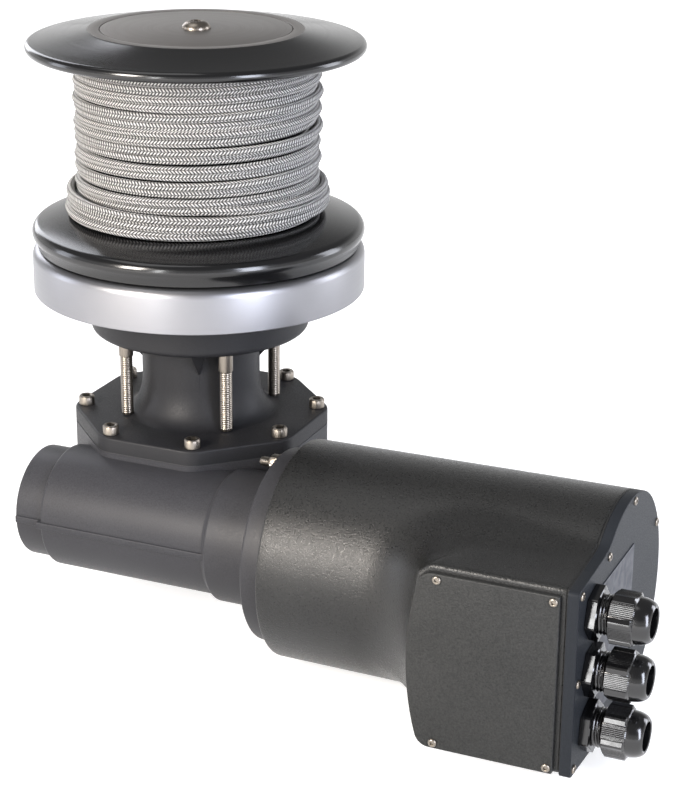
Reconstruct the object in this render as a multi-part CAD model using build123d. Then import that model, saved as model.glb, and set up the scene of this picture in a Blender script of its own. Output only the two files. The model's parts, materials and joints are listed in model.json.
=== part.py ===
from build123d import *
from math import acos, atan2, cos, degrees, pi, radians, sin, sqrt
import os

# Deck capstan. Millimetres, +Z up. The origin is the centre of the deck ring's
# underside, +Z is the drum axis and +X points along the motor.

# ---------------------------------------------------------------- driving sizes
running = 0.05          # radial running clearance of a shaft in its bore
seat_gap = 0.02         # radial clearance of a part seated in its bore
soft_gap = 0.3          # clearance of the rope round the barrel

# deck ring
ring_r = 105.0
ring_h = 28.0
ring_shoulder_r = 6.0
ring_wall = 13.0
ring_web_top = 14.0
ring_recess_r = 72.0
ring_recess_h = 2.0

# drum
drum_gap = 0.5          # axial running gap of the drum over the deck ring
rim_r = 104.8
rim_round = 5.7
rim_mid_z = 38.0
skirt_r = 101.5
skirt_h = 3.5
barrel_foot_z = 49.0
barrel_r = 70.3
barrel_wall = 6.3
flat_r = 80.0
top_under_z = 150.2
top_rim_round = 3.4
top_land_r = 67.6
top_z = 163.4
cap_r = 59.0
cap_h = 5.4
cap_gap = 0.8
hub_r = 30.0
hub_drop = 12.5
tie_pcd = 100.0
tie_count = 6
m6_r = 3.0
m6_head_r = 5.0
m6_head_h = 6.0

# rope
rope_d = 5.2
second_layer_turns = 3

# main shaft
shaft_r = 15.0
shaft_end_r = 12.5
shaft_step_z = 12.0
key_w = 8.0
key_h = 7.0
drum_key_len = 50.0
wheel_key_len = 36.0
cap_screw_r = 5.0
cap_screw_len = 26.0
cap_screw_head_r = 8.9
cap_screw_head_h = 4.6

# studs
stud_pcd = 100.0
stud_count = 4
stud_r = 4.0
stud_tip_z = -82.0
shank_r = 4.6
shank_end_z = -42.7
stud_in_ring = 11.0
stud_gap = 0.15

# neck casting
dish_r = 69.6
dish_under_z = -27.3
dish_round = 4.0
neck_r = 37.8
neck_flare = 11.5
neck_bore_r = 27.0
plate_z = -83.0
plate_h = 9.5
plate_corner_r = 83.6
plate_corner_round = 6.0
screw_pcd = 150.0
screw_count = 8
gasket_h = 0.8

# rolling bearings as (bore radius, outer radius, width)
upper_bearing_size = (15.0, 31.0, 16.0)
lower_bearing_size = (12.5, 26.0, 15.0)
worm_bearing_size = (8.5, 20.0, 12.0)
motor_bearing_size = (7.5, 17.5, 11.0)
upper_bearing_z = -27.0
seal_h = 8.0

# worm drive
centre_distance = 72.0
motor_drop = 135.0
wheel_teeth = 58
wheel_tip_r = 57.6
wheel_root_r = 53.2
wheel_w = 24.0
wheel_hub_r = 25.0
wheel_hub_drop = 22.0
worm_tip_r = 14.1
worm_root_r = 9.6
worm_len = 54.0
worm_pitch = 6.28
worm_shaft_r = 8.5
worm_seat_x = 54.0
worm_seat_right = 42.0

# gearbox body
block_under_z = -170.0
cavity_r = 66.0
cavity_floor_z = -158.0
boss_r = 34.0
boss_drop = 12.0
housing_r = 38.8
housing_left = -59.0
nose_r = 35.3
nose_left = -78.0
collar_r = 41.9
collar_left = 54.0
bore_mid_r = 18.0
coupling_room_r = 28.0
coupling_room_x = 64.0
rib_h = 4.4
rib_proud = 1.0

# motor
flange_r = 60.0
flange_x = 91.0
flange_w = 14.0
can_r = 54.0
can_wall = 4.0
can_len = 125.0
magnet_in_r = 37.6
magnet_len = 75.0
magnet_start = 25.0
core_r = 36.0
core_len = 65.0
core_start = 30.0
commutator_r = 18.0
commutator_len = 18.0
commutator_start = 103.0
end_shield_w = 12.0
motor_shaft_r = 7.5
brush_gap = 0.2
brush_len = 14.0
brush_h = 8.0
brush_w = 11.0
cage_gap = 0.15
cage_wall = 1.4
holder_w = 3.0

# motor cover with its control box
cover_r = 67.4
cover_draft = 1.6
cover_wall = 3.5
cover_end_x = 303.0
cover_lip_w = 4.0
box_reach = 94.0
box_half_h = 56.0
box_below = 5.0
box_slope = 3.4
box_valley_r = 30.0
box_left_x = 212.0
box_sweep_r = 50.0
end_gasket_w = 1.0
end_plate_w = 6.5
m3_r = 1.5
m3_head_r = 2.6
m3_head_h = 1.2
m3_thread = 3.0
screw_boss_r = 4.0
end_screw_pcd = 130.8
end_screw_angles = (130, 85, 29, -29, -85, -118)
end_screw_front = 5.4
end_screw_corner = 3.6

# box cover plate
lid_bulge = 8.0
lid_right_edge = 3.0
lid_top_edge = 3.9
lid_low_edge = 0.3
lid_w = 3.0
lid_corner = 8.0
lid_gasket_w = 0.6
lid_screw_inset = 3.6
lid_screw_left = 9.5
window_margin = 11.0

# cable glands
gland_edge = 21.5
gland_inset = 26.0
gland_af = 30.5
gland_flange_w = 5.0
gland_neck_r = 12.5
gland_neck_len = 19.0
gland_neck_show = 7.0
gland_bore_r = 9.5
gland_cap_w = 13.2
gland_dome_w = 10.4
gland_mouth_r = 9.8
cable_r = 8.5
locknut_w = 5.5
locknut_af = 29.0
locknut_r = 15.6

# label on the end plate
label_left = -61.0
label_right = 8.0
label_low = -43.0
label_high = 38.0
label_w = 0.5

# ---------------------------------------------------------------- derived places
motor_place = Plane(origin=(0, -centre_distance, -motor_drop), x_dir=(0, 1, 0), z_dir=(1, 0, 0)).location
skirt_z = ring_h + drum_gap
barrel_top_z = top_under_z
rim_center_r = rim_r - rim_round
body_top_z = plate_z - plate_h - gasket_h
shaft_foot_z = cavity_floor_z - lower_bearing_size[2]
can_x = flange_x + flange_w
box_front_y = -centre_distance - box_reach
box_mid_z = -motor_drop - box_below
lid_left = box_left_x + lid_bulge
lid_right = cover_end_x - lid_right_edge
lid_half_h = box_half_h - (lid_top_edge + lid_low_edge) / 2
lid_mid_z = box_mid_z - (lid_top_edge - lid_low_edge) / 2
gland_pitch = box_half_h - gland_edge
gland_y = box_front_y - lid_w + gland_inset
can_end_x = can_x + can_len
end_gasket_x = cover_end_x
end_plate_x = cover_end_x + end_gasket_w
end_face_x = end_plate_x + end_plate_w
gland_x = end_face_x
cap_seat_z = top_z - cap_h


# ---------------------------------------------------------------- helpers
def arc_points(cx, cy, r, start, end):
    """Middle and end point of an arc given by its centre, radius and angles in degrees."""
    mid = radians((start + end) / 2)
    stop = radians(end)
    return ((cx + r * cos(mid), cy + r * sin(mid)), (cx + r * cos(stop), cy + r * sin(stop)))


def outline(first, *steps):
    """Closed face in the XY plane. A step is a point, or a (middle, end) pair for an arc."""
    edges = []
    here = first
    for step in steps:
        if isinstance(step[0], tuple):
            edges.append(ThreePointArc(here, step[0], step[1]))
            here = step[1]
        else:
            edges.append(Line(here, step))
            here = step
    if abs(here[0] - first[0]) + abs(here[1] - first[1]) > 1e-6:
        edges.append(Line(here, first))
    return make_face(edges)


def turned(first, *steps):
    """Solid of revolution about Z from an (r, z) outline."""
    face = Plane.XZ * outline(first, *steps)
    return revolve(face, Axis.Z)


def rod(r, z0, z1):
    """Round bar along Z."""
    return Pos(0, 0, (z0 + z1) / 2) * Cylinder(r, abs(z1 - z0))


def ring(outer, inner, z0, z1):
    """Tube along Z."""
    return rod(outer, z0, z1) - rod(inner, z0 - 1, z1 + 1)


def hexagon(across_flats, z0, z1, turn=0.0):
    """Hexagonal bar along Z; turn 0 puts flats towards +Y and -Y."""
    face = RegularPolygon(across_flats / 2, 6, major_radius=False, rotation=turn)
    return extrude(Pos(0, 0, z0) * face, z1 - z0)


def around(pcd, count, first=0.0):
    """Points on a bolt circle, the first at an angle in degrees from +X."""
    step = 360 / count
    return [
        (pcd / 2 * cos(radians(first + step * i)), pcd / 2 * sin(radians(first + step * i)))
        for i in range(count)
    ]


def ball_bearing(size, z0):
    """Rings and balls of a deep-groove bearing along Z, its lower face at z0."""
    bore, outer, width = size
    pitch_r = (bore + outer) / 2
    ball_r = (outer - bore) * 0.28
    groove = Pos(0, 0, z0 + width / 2) * Torus(pitch_r, ball_r + 0.05)
    third = (outer - bore) * 0.3
    inner_ring = ring(bore + third, bore, z0, z0 + width) - groove
    outer_ring = ring(outer, outer - third, z0, z0 + width) - groove
    count = int(2 * pi * pitch_r / (ball_r * 2.6))
    balls = [Pos(x, y, z0 + width / 2) * Sphere(ball_r) for x, y in around(2 * pitch_r, count)]
    return [inner_ring, outer_ring] + balls


def socket_screw(r, length, head_r, head_h, socket_af):
    """Socket head screw along Z: the head's underside at 0, the shank downwards."""
    screw = rod(r, -length, 0) + rod(head_r, 0, head_h)
    screw -= hexagon(socket_af, head_h * 0.45, head_h + 1)
    return screw


def octagon(corner_r, corner_round, z0, height):
    """Octagonal block with corners at 22.5 degrees from the axes."""
    face = RegularPolygon(corner_r, 8, rotation=22.5)
    block = extrude(Pos(0, 0, z0) * face, height)
    return fillet(block.edges().filter_by(Axis.Z), corner_round)


def flank(circle_r, corner, bend):
    """Way from the round cover to a corner of the box, in the motor's frame; bend is 1 above, -1 below.

    Gives the start, middle and end of the rounding. A side that clears the round cover has none, and
    gives its nearest point to the motor's axis.
    """
    side = radians(box_slope) * bend
    along = (cos(side), sin(side))
    normal = (-sin(side) * bend, cos(side) * bend)
    base_y = corner[0] + box_valley_r * normal[0]
    base_z = corner[1] + box_valley_r * normal[1]
    nearest = -(base_y * along[0] + base_z * along[1])
    reach = circle_r + box_valley_r
    spare = nearest ** 2 - base_y ** 2 - base_z ** 2 + reach ** 2
    if spare <= 0:
        return [(corner[0] + nearest * along[0], corner[1] + nearest * along[1])]
    travel = nearest - sqrt(spare)
    centre = (base_y + travel * along[0], base_z + travel * along[1])
    on_circle = (centre[0] * circle_r / reach, centre[1] * circle_r / reach)
    on_side = (corner[0] + travel * along[0], corner[1] + travel * along[1])
    chord = ((on_circle[0] + on_side[0]) / 2 - centre[0], (on_circle[1] + on_side[1]) / 2 - centre[1])
    size = box_valley_r / sqrt(chord[0] ** 2 + chord[1] ** 2)
    middle = (centre[0] + chord[0] * size, centre[1] + chord[1] * size)
    return [on_circle, middle, on_side]


def box_corners(front_y, half_h, shrink=0.0):
    """Upper and lower front corners of the box in the motor's frame."""
    mid = box_mid_z + motor_drop
    front = front_y + centre_distance + shrink
    return (front, mid + half_h - shrink), (front, mid - half_h + shrink)


def box_outline(circle_r, front_y, half_h, shrink=0.0):
    """Box from the motor axis to its front face with the roundings into the cover."""
    upper, lower = box_corners(front_y, half_h, shrink)
    top = flank(circle_r - shrink, upper, 1)
    bottom = flank(circle_r - shrink, lower, -1)
    steps = [top[0]]
    if len(top) == 3:
        steps.append((top[1], top[2]))
    steps += [upper, lower]
    if len(bottom) == 3:
        steps += [bottom[2], (bottom[1], bottom[0])]
    else:
        steps.append(bottom[0])
    return outline((0, 0), *steps)


def box_block(circle_r, shrink, x0, x1):
    """The box between two places along the motor axis, smaller all round by shrink."""
    face = box_outline(circle_r, box_front_y, box_half_h, shrink)
    return extrude(Pos(0, 0, x0) * face, x1 - x0)


def cover_radius(x):
    """Outer radius of the drafted motor cover at a place along the motor axis."""
    return cover_r + cover_draft * (x - can_x) / (cover_end_x - can_x)


nodes = {}


def keep(name, *solids):
    """Store one node as a solid, or as a group of separate solids."""
    nodes[name] = solids[0] if len(solids) == 1 else Compound(children=list(solids))


# ---------------------------------------------------------------- deck ring and studs
stud_points = around(stud_pcd, stud_count, 45)


def make_base_ring():
    """Deck ring: outer wall, web with the studs' threads, recess for the dish."""
    body = turned(
        (ring_recess_r, 0),
        (ring_r - 0.8, 0),
        (ring_r, 0.8),
        (ring_r, ring_h - ring_shoulder_r),
        arc_points(ring_r - ring_shoulder_r, ring_h - ring_shoulder_r, ring_shoulder_r, 0, 90),
        (ring_r - ring_wall, ring_h),
        (ring_r - ring_wall, ring_web_top),
        (shaft_r + 1.0, ring_web_top),
        (shaft_r + 1.0, ring_recess_h),
        (ring_recess_r, ring_recess_h),
    )
    for x, y in stud_points:
        body -= Pos(x, y, 0) * rod(shank_r + seat_gap, ring_recess_h - 1, ring_recess_h + stud_in_ring)
    return body


def make_stud(x, y):
    """Stud: plain shank seated in the ring and through the dish, thread towards the nut."""
    stud = rod(stud_r, stud_tip_z, shank_end_z)
    stud += rod(shank_r, shank_end_z, ring_recess_h + stud_in_ring)
    return Pos(x, y, 0) * stud


keep("base_ring", make_base_ring())
keep("mounting_studs", *[make_stud(x, y) for x, y in stud_points])


# ---------------------------------------------------------------- neck casting
screw_points = around(screw_pcd, screw_count, 22.5)


def make_neck():
    """Dish, neck and octagonal plate of the gearbox's upper cover in one casting."""
    column = turned(
        (neck_bore_r, ring_recess_h),
        (dish_r, ring_recess_h),
        (dish_r, dish_under_z + dish_round),
        arc_points(dish_r - dish_round, dish_under_z + dish_round, dish_round, 0, -90),
        (neck_r + 5.0, dish_under_z),
        arc_points(neck_r + 5.0, dish_under_z - 5.0, 5.0, 90, 180),
        (neck_r, plate_z + neck_flare),
        arc_points(neck_r + neck_flare, plate_z + neck_flare, neck_flare, 180, 270),
        (neck_r + neck_flare, plate_z - 1),
        (neck_bore_r, plate_z - 1),
    )
    plate = octagon(plate_corner_r, plate_corner_round, plate_z - plate_h, plate_h)
    top_edges = plate.edges().group_by(Axis.Z)[-1]
    plate = fillet(top_edges, 1.2)
    body = column + (plate - rod(neck_bore_r, plate_z - plate_h - 1, plate_z + 1))
    body -= rod(upper_bearing_size[1] + seat_gap, upper_bearing_z, ring_recess_h + 1)
    for x, y in stud_points:
        body -= Pos(x, y, 0) * rod(shank_r + stud_gap, dish_under_z - 1, ring_recess_h + 1)
    for x, y in screw_points:
        body -= Pos(x, y, 0) * rod(m6_r + 0.3, plate_z - plate_h - 1, plate_z + 1)
    for turn in range(4):
        web = outline((neck_r - 3, dish_under_z + 1), (neck_r + 9, dish_under_z + 1), (neck_r - 3, -50))
        rib = extrude(Plane.XZ * web, 2.5, both=True)
        body += Rot(0, 0, turn * 90 - 60) * rib
    return body


keep("neck_casting", make_neck())

gasket = octagon(plate_corner_r, plate_corner_round, plate_z - plate_h - gasket_h, gasket_h)
gasket -= rod(cavity_r, plate_z - plate_h - gasket_h - 1, plate_z)
for x, y in screw_points:
    gasket -= Pos(x, y, 0) * rod(m6_r + 0.3, plate_z - plate_h - 2, plate_z)
keep("housing_gasket", gasket)

plate_screw = socket_screw(m6_r, plate_h + gasket_h + 14, m6_head_r, m6_head_h, 5)
keep("housing_screws", *[Pos(x, y, plate_z) * plate_screw for x, y in screw_points])


# ---------------------------------------------------------------- gearbox body
def make_gearbox_body():
    """Octagonal gear case with the worm's round housing across its front."""
    block = octagon(plate_corner_r, plate_corner_round, block_under_z, body_top_z - block_under_z)
    block += rod(boss_r, block_under_z - boss_drop, block_under_z)
    rib_r = housing_r + rib_proud
    housing = rod(housing_r, housing_left, collar_left) + rod(nose_r, nose_left, housing_left)
    housing += rod(collar_r, collar_left, flange_x)
    rib = Pos(-rib_r + 4, 0, (nose_left + collar_left) / 2) * Box(8, rib_h, collar_left - nose_left)
    housing += rib
    body = block + motor_place * housing
    body -= rod(cavity_r, cavity_floor_z, body_top_z + 1)
    body -= rod(lower_bearing_size[1] + seat_gap, cavity_floor_z - lower_bearing_size[2], cavity_floor_z + 1)
    seat_r = worm_bearing_size[1] + seat_gap
    bore = rod(bore_mid_r, nose_left - 1, flange_x + 1)
    bore += rod(seat_r, nose_left - 1, -worm_seat_x)
    bore += rod(seat_r, worm_seat_right, coupling_room_x)
    bore += rod(coupling_room_r, coupling_room_x, flange_x + 1)
    body -= motor_place * bore
    for x, y in screw_points:
        body -= Pos(x, y, 0) * rod(m6_r + seat_gap, body_top_z - 15, body_top_z + 1)
    for x, y in flange_screw_points:
        body -= motor_place * Pos(x, y, 0) * rod(m6_r + seat_gap, flange_x - 16, flange_x + 1)
    return body


flange_screw_points = around(70.0, 4, 45)
keep("gearbox_body", make_gearbox_body())


# ---------------------------------------------------------------- main shaft and its bearings
def key_block(length, z_mid, shaft_radius, turn=0.0):
    """Parallel key lying half in a shaft, along Z."""
    place = Rot(0, 0, turn) * Pos(shaft_radius, 0, z_mid)
    return place * Box(key_h, key_w, length)


wheel_key = key_block(wheel_key_len, -motor_drop, shaft_r)
drum_key = key_block(drum_key_len, 95.0, shaft_end_r, 90)
spacer_top = upper_bearing_z
wheel_hub_top = -motor_drop + wheel_hub_drop


def make_main_shaft():
    """Stepped output shaft from the gear case's floor to the drum's top."""
    shaft = rod(shaft_end_r, shaft_foot_z, cavity_floor_z)
    shaft += rod(shaft_r, cavity_floor_z, shaft_step_z)
    shaft += rod(shaft_end_r, shaft_step_z, cap_seat_z)
    shaft -= rod(cap_screw_r + seat_gap, cap_seat_z - 30, cap_seat_z + 1)
    shaft -= wheel_key
    shaft -= drum_key
    return shaft


keep("main_shaft", make_main_shaft())
keep("wheel_key", wheel_key)
keep("drum_key", drum_key)
running_upper = (upper_bearing_size[0] + running, upper_bearing_size[1], upper_bearing_size[2])
running_lower = (lower_bearing_size[0] + running, lower_bearing_size[1], lower_bearing_size[2])
keep("upper_bearing", *ball_bearing(running_upper, upper_bearing_z))
keep("lower_bearing", *ball_bearing(running_lower, shaft_foot_z))
seal_z = upper_bearing_z + upper_bearing_size[2]
keep("shaft_seal", ring(upper_bearing_size[1], shaft_r + running, seal_z, seal_z + seal_h))
spacer = ring(shaft_r + 3.5, shaft_r + seat_gap, wheel_hub_top, spacer_top)
keep("wheel_spacer", spacer)


def make_worm_wheel():
    """Bronze wheel with straight-cut tooth spaces and a throated rim."""
    wheel = rod(wheel_tip_r, -motor_drop - wheel_w / 2, -motor_drop + wheel_w / 2)
    wheel += rod(wheel_hub_r, -motor_drop - wheel_hub_drop, wheel_hub_top)
    recess_h = wheel_w * 0.3
    for side in (1, -1):
        z_mid = -motor_drop + side * (wheel_w / 2 - recess_h / 2 + 0.5)
        wheel -= Pos(0, 0, z_mid) * (Cylinder(wheel_root_r - 7, recess_h + 1) - Cylinder(wheel_hub_r, recess_h + 2))
    depth = wheel_tip_r - wheel_root_r
    pitch = 2 * pi * wheel_tip_r / wheel_teeth
    gap = outline(
        (wheel_root_r, -pitch * 0.17),
        (wheel_tip_r + 1, -pitch * 0.31),
        (wheel_tip_r + 1, pitch * 0.31),
        (wheel_root_r, pitch * 0.17),
    )
    cutter = extrude(Pos(0, 0, -motor_drop - wheel_w / 2 - 1) * gap, wheel_w + 2)
    step = 360 / wheel_teeth
    cutters = [Rot(0, 0, step * i) * cutter for i in range(wheel_teeth)]
    wheel -= cutters
    wheel -= rod(shaft_r + seat_gap, -motor_drop - 60, -motor_drop + 60)
    wheel -= wheel_key
    return wheel


keep("worm_wheel", make_worm_wheel())


# ---------------------------------------------------------------- drum
def make_lower_flange():
    """Lower drum flange with its hub and rounded rim."""
    body = turned(
        (shaft_end_r + seat_gap, skirt_z - hub_drop),
        (hub_r, skirt_z - hub_drop),
        (hub_r, skirt_z),
        (skirt_r, skirt_z),
        (skirt_r, skirt_z + skirt_h),
        (rim_center_r, rim_mid_z - rim_round),
        arc_points(rim_center_r, rim_mid_z, rim_round, -90, 80),
        (flat_r, barrel_foot_z),
        (shaft_end_r + seat_gap, barrel_foot_z),
    )
    body += ring(barrel_r - barrel_wall - seat_gap, shaft_end_r + seat_gap, barrel_foot_z, barrel_foot_z + 3)
    for x, y in around(tie_pcd, tie_count, 0):
        body -= Pos(x, y, 0) * rod(m6_r + seat_gap, barrel_foot_z - 14, barrel_foot_z + 4)
    return body


def make_barrel():
    """Rope barrel with a web and hub keyed to the shaft."""
    inner = barrel_r - barrel_wall
    body = ring(barrel_r, inner, barrel_foot_z, barrel_top_z)
    body += ring(inner + 0.5, shaft_end_r + seat_gap, 90, 98)
    body += ring(hub_r - 4, shaft_end_r + seat_gap, 68, 122)
    body -= drum_key
    for x, y in around(tie_pcd, tie_count, 0):
        body -= Pos(x, y, 0) * rod(m6_r + 0.4, 80, 110)
    return body


def make_top_flange():
    """Upper drum flange: shallow cone, rounded rim, recess for the cap."""
    rim_in = rim_r - top_rim_round
    body = turned(
        (shaft_end_r + seat_gap, top_under_z),
        (rim_in, top_under_z),
        arc_points(rim_in, top_under_z + top_rim_round, top_rim_round, -90, 80),
        (top_land_r, top_z - 0.4),
        (top_land_r - 0.8, top_z),
        (cap_r + cap_gap, top_z),
        (cap_r + cap_gap, cap_seat_z),
        (shaft_end_r + seat_gap, cap_seat_z),
    )
    body += ring(barrel_r - barrel_wall - seat_gap, shaft_end_r + seat_gap, top_under_z - 3, top_under_z)
    for x, y in around(tie_pcd, tie_count, 0):
        body -= Pos(x, y, 0) * rod(m6_r + 0.4, top_under_z - 4, cap_seat_z + 1)
        body -= Pos(x, y, 0) * rod(m6_head_r + 0.4, cap_seat_z - m6_head_h - 0.3, cap_seat_z + 1)
    return body


keep("drum_lower_flange", make_lower_flange())
keep("drum_barrel", make_barrel())
keep("drum_top_flange", make_top_flange())
cap_disc = rod(cap_r, cap_seat_z, top_z)
cap_disc = chamfer(cap_disc.edges().group_by(Axis.Z)[-1], 0.4)
cap_disc -= rod(cap_screw_r + 0.3, cap_seat_z - 1, top_z + 1)
keep("top_cap", cap_disc)
cap_screw = turned(
    (0, -cap_screw_len),
    (cap_screw_r, -cap_screw_len),
    (cap_screw_r, 0),
    (cap_screw_head_r, 0),
    (cap_screw_head_r, 0.8),
    ((cap_screw_head_r * 0.78, cap_screw_head_h * 0.78), (cap_screw_head_r * 0.42, cap_screw_head_h)),
    (0, cap_screw_head_h),
)
cap_screw -= hexagon(6, cap_screw_head_h - 3, cap_screw_head_h + 1)
keep("centre_screw", Pos(0, 0, top_z) * cap_screw)
tie_head_z = cap_seat_z - m6_head_h - 0.3
tie_bolt = socket_screw(m6_r, tie_head_z - barrel_foot_z + 12, m6_head_r, m6_head_h, 5)
keep("drum_tie_bolts", *[Pos(x, y, tie_head_z) * tie_bolt for x, y in around(tie_pcd, tie_count, 0)])


def make_rope_coil():
    """Outer shape of the wound rope: one layer, with a second layer over its lowest turns."""
    inner = barrel_r + soft_gap
    layer = inner + rope_d
    second = layer + rope_d * 1.45
    foot = barrel_foot_z + soft_gap
    bulge_top = foot + rope_d * second_layer_turns
    return turned(
        (inner, foot),
        (second - 1.6, foot),
        (second, foot + 2.2),
        (second, bulge_top - 3.0),
        (second - 2.2, bulge_top),
        (layer, bulge_top + 4.0),
        (layer, top_under_z - soft_gap),
        (inner, top_under_z - soft_gap),
    )


keep("rope_coil", make_rope_coil())


# ---------------------------------------------------------------- worm and its bearings
def make_worm_shaft():
    """Worm cut on its shaft, journals each side and an end for the coupling."""
    left = -worm_seat_x - worm_bearing_size[2]
    points = [(0, left), (worm_shaft_r, left), (worm_shaft_r, -worm_len / 2 - 3)]
    points.append((worm_root_r, -worm_len / 2))
    count = int(worm_len / worm_pitch)
    start = -count * worm_pitch / 2
    for i in range(count):
        z = start + i * worm_pitch
        points.append((worm_root_r, z + worm_pitch * 0.12))
        points.append((worm_tip_r, z + worm_pitch * 0.34))
        points.append((worm_tip_r, z + worm_pitch * 0.66))
        points.append((worm_root_r, z + worm_pitch * 0.88))
    points.append((worm_root_r, worm_len / 2))
    points.append((worm_shaft_r, worm_len / 2 + 3))
    points.append((worm_shaft_r, flange_x - 9))
    points.append((0, flange_x - 9))
    return turned(*points)


running_worm = (worm_shaft_r + running, worm_bearing_size[1], worm_bearing_size[2])
keep("worm_shaft", motor_place * make_worm_shaft())
left_seat = -worm_seat_x - worm_bearing_size[2]
keep("worm_bearing_left", *[motor_place * s for s in ball_bearing(running_worm, left_seat)])
keep("worm_bearing_right", *[motor_place * s for s in ball_bearing(running_worm, worm_seat_right)])
worm_seal_x = worm_seat_right + worm_bearing_size[2]
keep("worm_seal", motor_place * ring(worm_bearing_size[1], worm_shaft_r + running, worm_seal_x, worm_seal_x + 7))
end_cap = rod(worm_bearing_size[1], left_seat - 9, left_seat - 5) + ring(
    worm_bearing_size[1], worm_bearing_size[1] - 4, left_seat - 5.5, left_seat
)
keep("worm_end_cap", motor_place * end_cap)

coupling = ring(16, worm_shaft_r + seat_gap, 66, 84)
coupling += ring(16, motor_shaft_r + seat_gap, 84, 90)
keep("shaft_coupling", motor_place * coupling)


# ---------------------------------------------------------------- motor
def make_motor_flange():
    """Drive-end shield that joins the motor to the gear case."""
    body = rod(flange_r, flange_x, can_x)
    body = fillet(body.edges(), 1.5)
    body -= rod(motor_bearing_size[1] + seat_gap, can_x - motor_bearing_size[2], can_x + 1)
    body -= rod(motor_shaft_r + 3, flange_x - 1, can_x)
    for x, y in flange_screw_points:
        body -= Pos(x, y, 0) * rod(m6_r + 0.3, flange_x - 1, can_x + 1)
        body -= Pos(x, y, 0) * rod(m6_head_r + 0.4, can_x - m6_head_h, can_x + 1)
    body -= Pos(0, bond_r, 0) * rod(m6_r + seat_gap, flange_x - 1, flange_x + 9)
    return body


bond_r = 52.5
keep("motor_flange", motor_place * make_motor_flange())
flange_screw = socket_screw(m6_r, can_x - m6_head_h - flange_x + 15, m6_head_r, m6_head_h, 5)
keep(
    "flange_screws",
    *[motor_place * Pos(x, y, can_x - m6_head_h) * flange_screw for x, y in flange_screw_points],
)
bond_place = motor_place * Pos(0, bond_r, 0)
keep(
    "bonding_stud",
    bond_place * rod(m6_r, flange_x - 10.5, flange_x + 8),
    bond_place * ring(6, m6_r + seat_gap, flange_x - 1.4, flange_x),
    bond_place * (hexagon(10, flange_x - 6.4, flange_x - 1.4) - rod(m6_r + seat_gap, flange_x - 9, flange_x)),
)
keep("motor_can", motor_place * ring(can_r, can_r - can_wall, can_x, can_end_x))

magnet_x = can_x + magnet_start
magnet_shell = ring(can_r - can_wall, magnet_in_r, magnet_x, magnet_x + magnet_len)
magnet_slots = [
    Rot(0, 0, 45 * turn) * Pos(0, 0, magnet_x + magnet_len / 2) * Box(2.4 * can_r, 10, magnet_len + 2)
    for turn in (1, 3)
]
magnets = magnet_shell - magnet_slots
keep("field_magnets", *[motor_place * s for s in magnets.solids()])

motor_shaft = rod(motor_shaft_r, can_x - 14.5, can_end_x + end_shield_w - 1)
core_x = can_x + core_start
core = ring(core_r, motor_shaft_r + seat_gap, core_x, core_x + core_len)
core_slots = [
    Pos(x, y, core_x + core_len / 2) * Rot(0, 0, degrees(atan2(y, x))) * Box(3, 2, core_len + 2)
    for x, y in around(2 * core_r, 16)
]
core -= core_slots
commutator_x = can_x + commutator_start
commutator = ring(commutator_r, motor_shaft_r + seat_gap, commutator_x, commutator_x + commutator_len)
coil_heads = [
    ring(core_r - 4, motor_shaft_r + 2, core_x - 12, core_x),
    ring(core_r - 4, motor_shaft_r + 2, core_x + core_len, commutator_x - 0.5),
]
keep("armature_shaft", motor_place * motor_shaft)
keep("armature_core", motor_place * core)
keep("armature_windings", *[motor_place * s for s in coil_heads])
keep("commutator", motor_place * commutator)

brush_points = around(2 * (commutator_r + brush_gap) + brush_len, 4, 45)
brush_x = commutator_x + commutator_len / 2
brush_places = [
    Pos(x, y, brush_x) * Rot(0, 0, degrees(atan2(y, x))) for x, y in brush_points
]
bar_room = rod(commutator_r + brush_gap, brush_x - brush_w, brush_x + brush_w)
brushes = [place * Box(brush_len, brush_h, brush_w) - bar_room for place in brush_places]
holder_x = brush_x + brush_w / 2 + 1
holder = ring(can_r - can_wall - seat_gap, commutator_r + 3, holder_x, holder_x + holder_w)
cage_hole = Box(brush_len + 1, brush_h + 2 * cage_gap, brush_w + 2 * cage_gap)
cage_side = 2 * (cage_gap + cage_wall)
cage = Box(brush_len - 1, brush_h + cage_side, brush_w + cage_side) - cage_hole
for place in brush_places:
    holder += place * Pos(brush_len / 4, 0, 0) * cage
keep("brush_holder", motor_place * holder)
keep("brushes", *[motor_place * s for s in brushes])

running_motor = (motor_shaft_r + running, motor_bearing_size[1], motor_bearing_size[2])
front_x = can_x - motor_bearing_size[2]
keep("motor_front_bearing", *[motor_place * s for s in ball_bearing(running_motor, front_x)])
keep("motor_rear_bearing", *[motor_place * s for s in ball_bearing(running_motor, can_end_x)])
end_shield = rod(can_r, can_end_x, can_end_x + end_shield_w + 3)
end_shield -= rod(motor_bearing_size[1] + seat_gap, can_end_x - 1, can_end_x + motor_bearing_size[2])
end_shield -= rod(motor_shaft_r + 1.5, can_end_x - 1, can_end_x + end_shield_w)
keep("motor_end_shield", motor_place * end_shield)


# ---------------------------------------------------------------- motor cover
def swept_front(x):
    """Front face's place in Y where the box sweeps out of the round cover, at x."""
    start_x = box_left_x - sweep_run
    centre_y = -centre_distance - cover_radius(start_x) - box_sweep_r
    return centre_y + sqrt(max(0.0, box_sweep_r ** 2 - (x - start_x) ** 2))


sweep_depth = -box_front_y - centre_distance - cover_r
sweep_run = sqrt(box_sweep_r ** 2 - (box_sweep_r - sweep_depth) ** 2)


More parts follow.
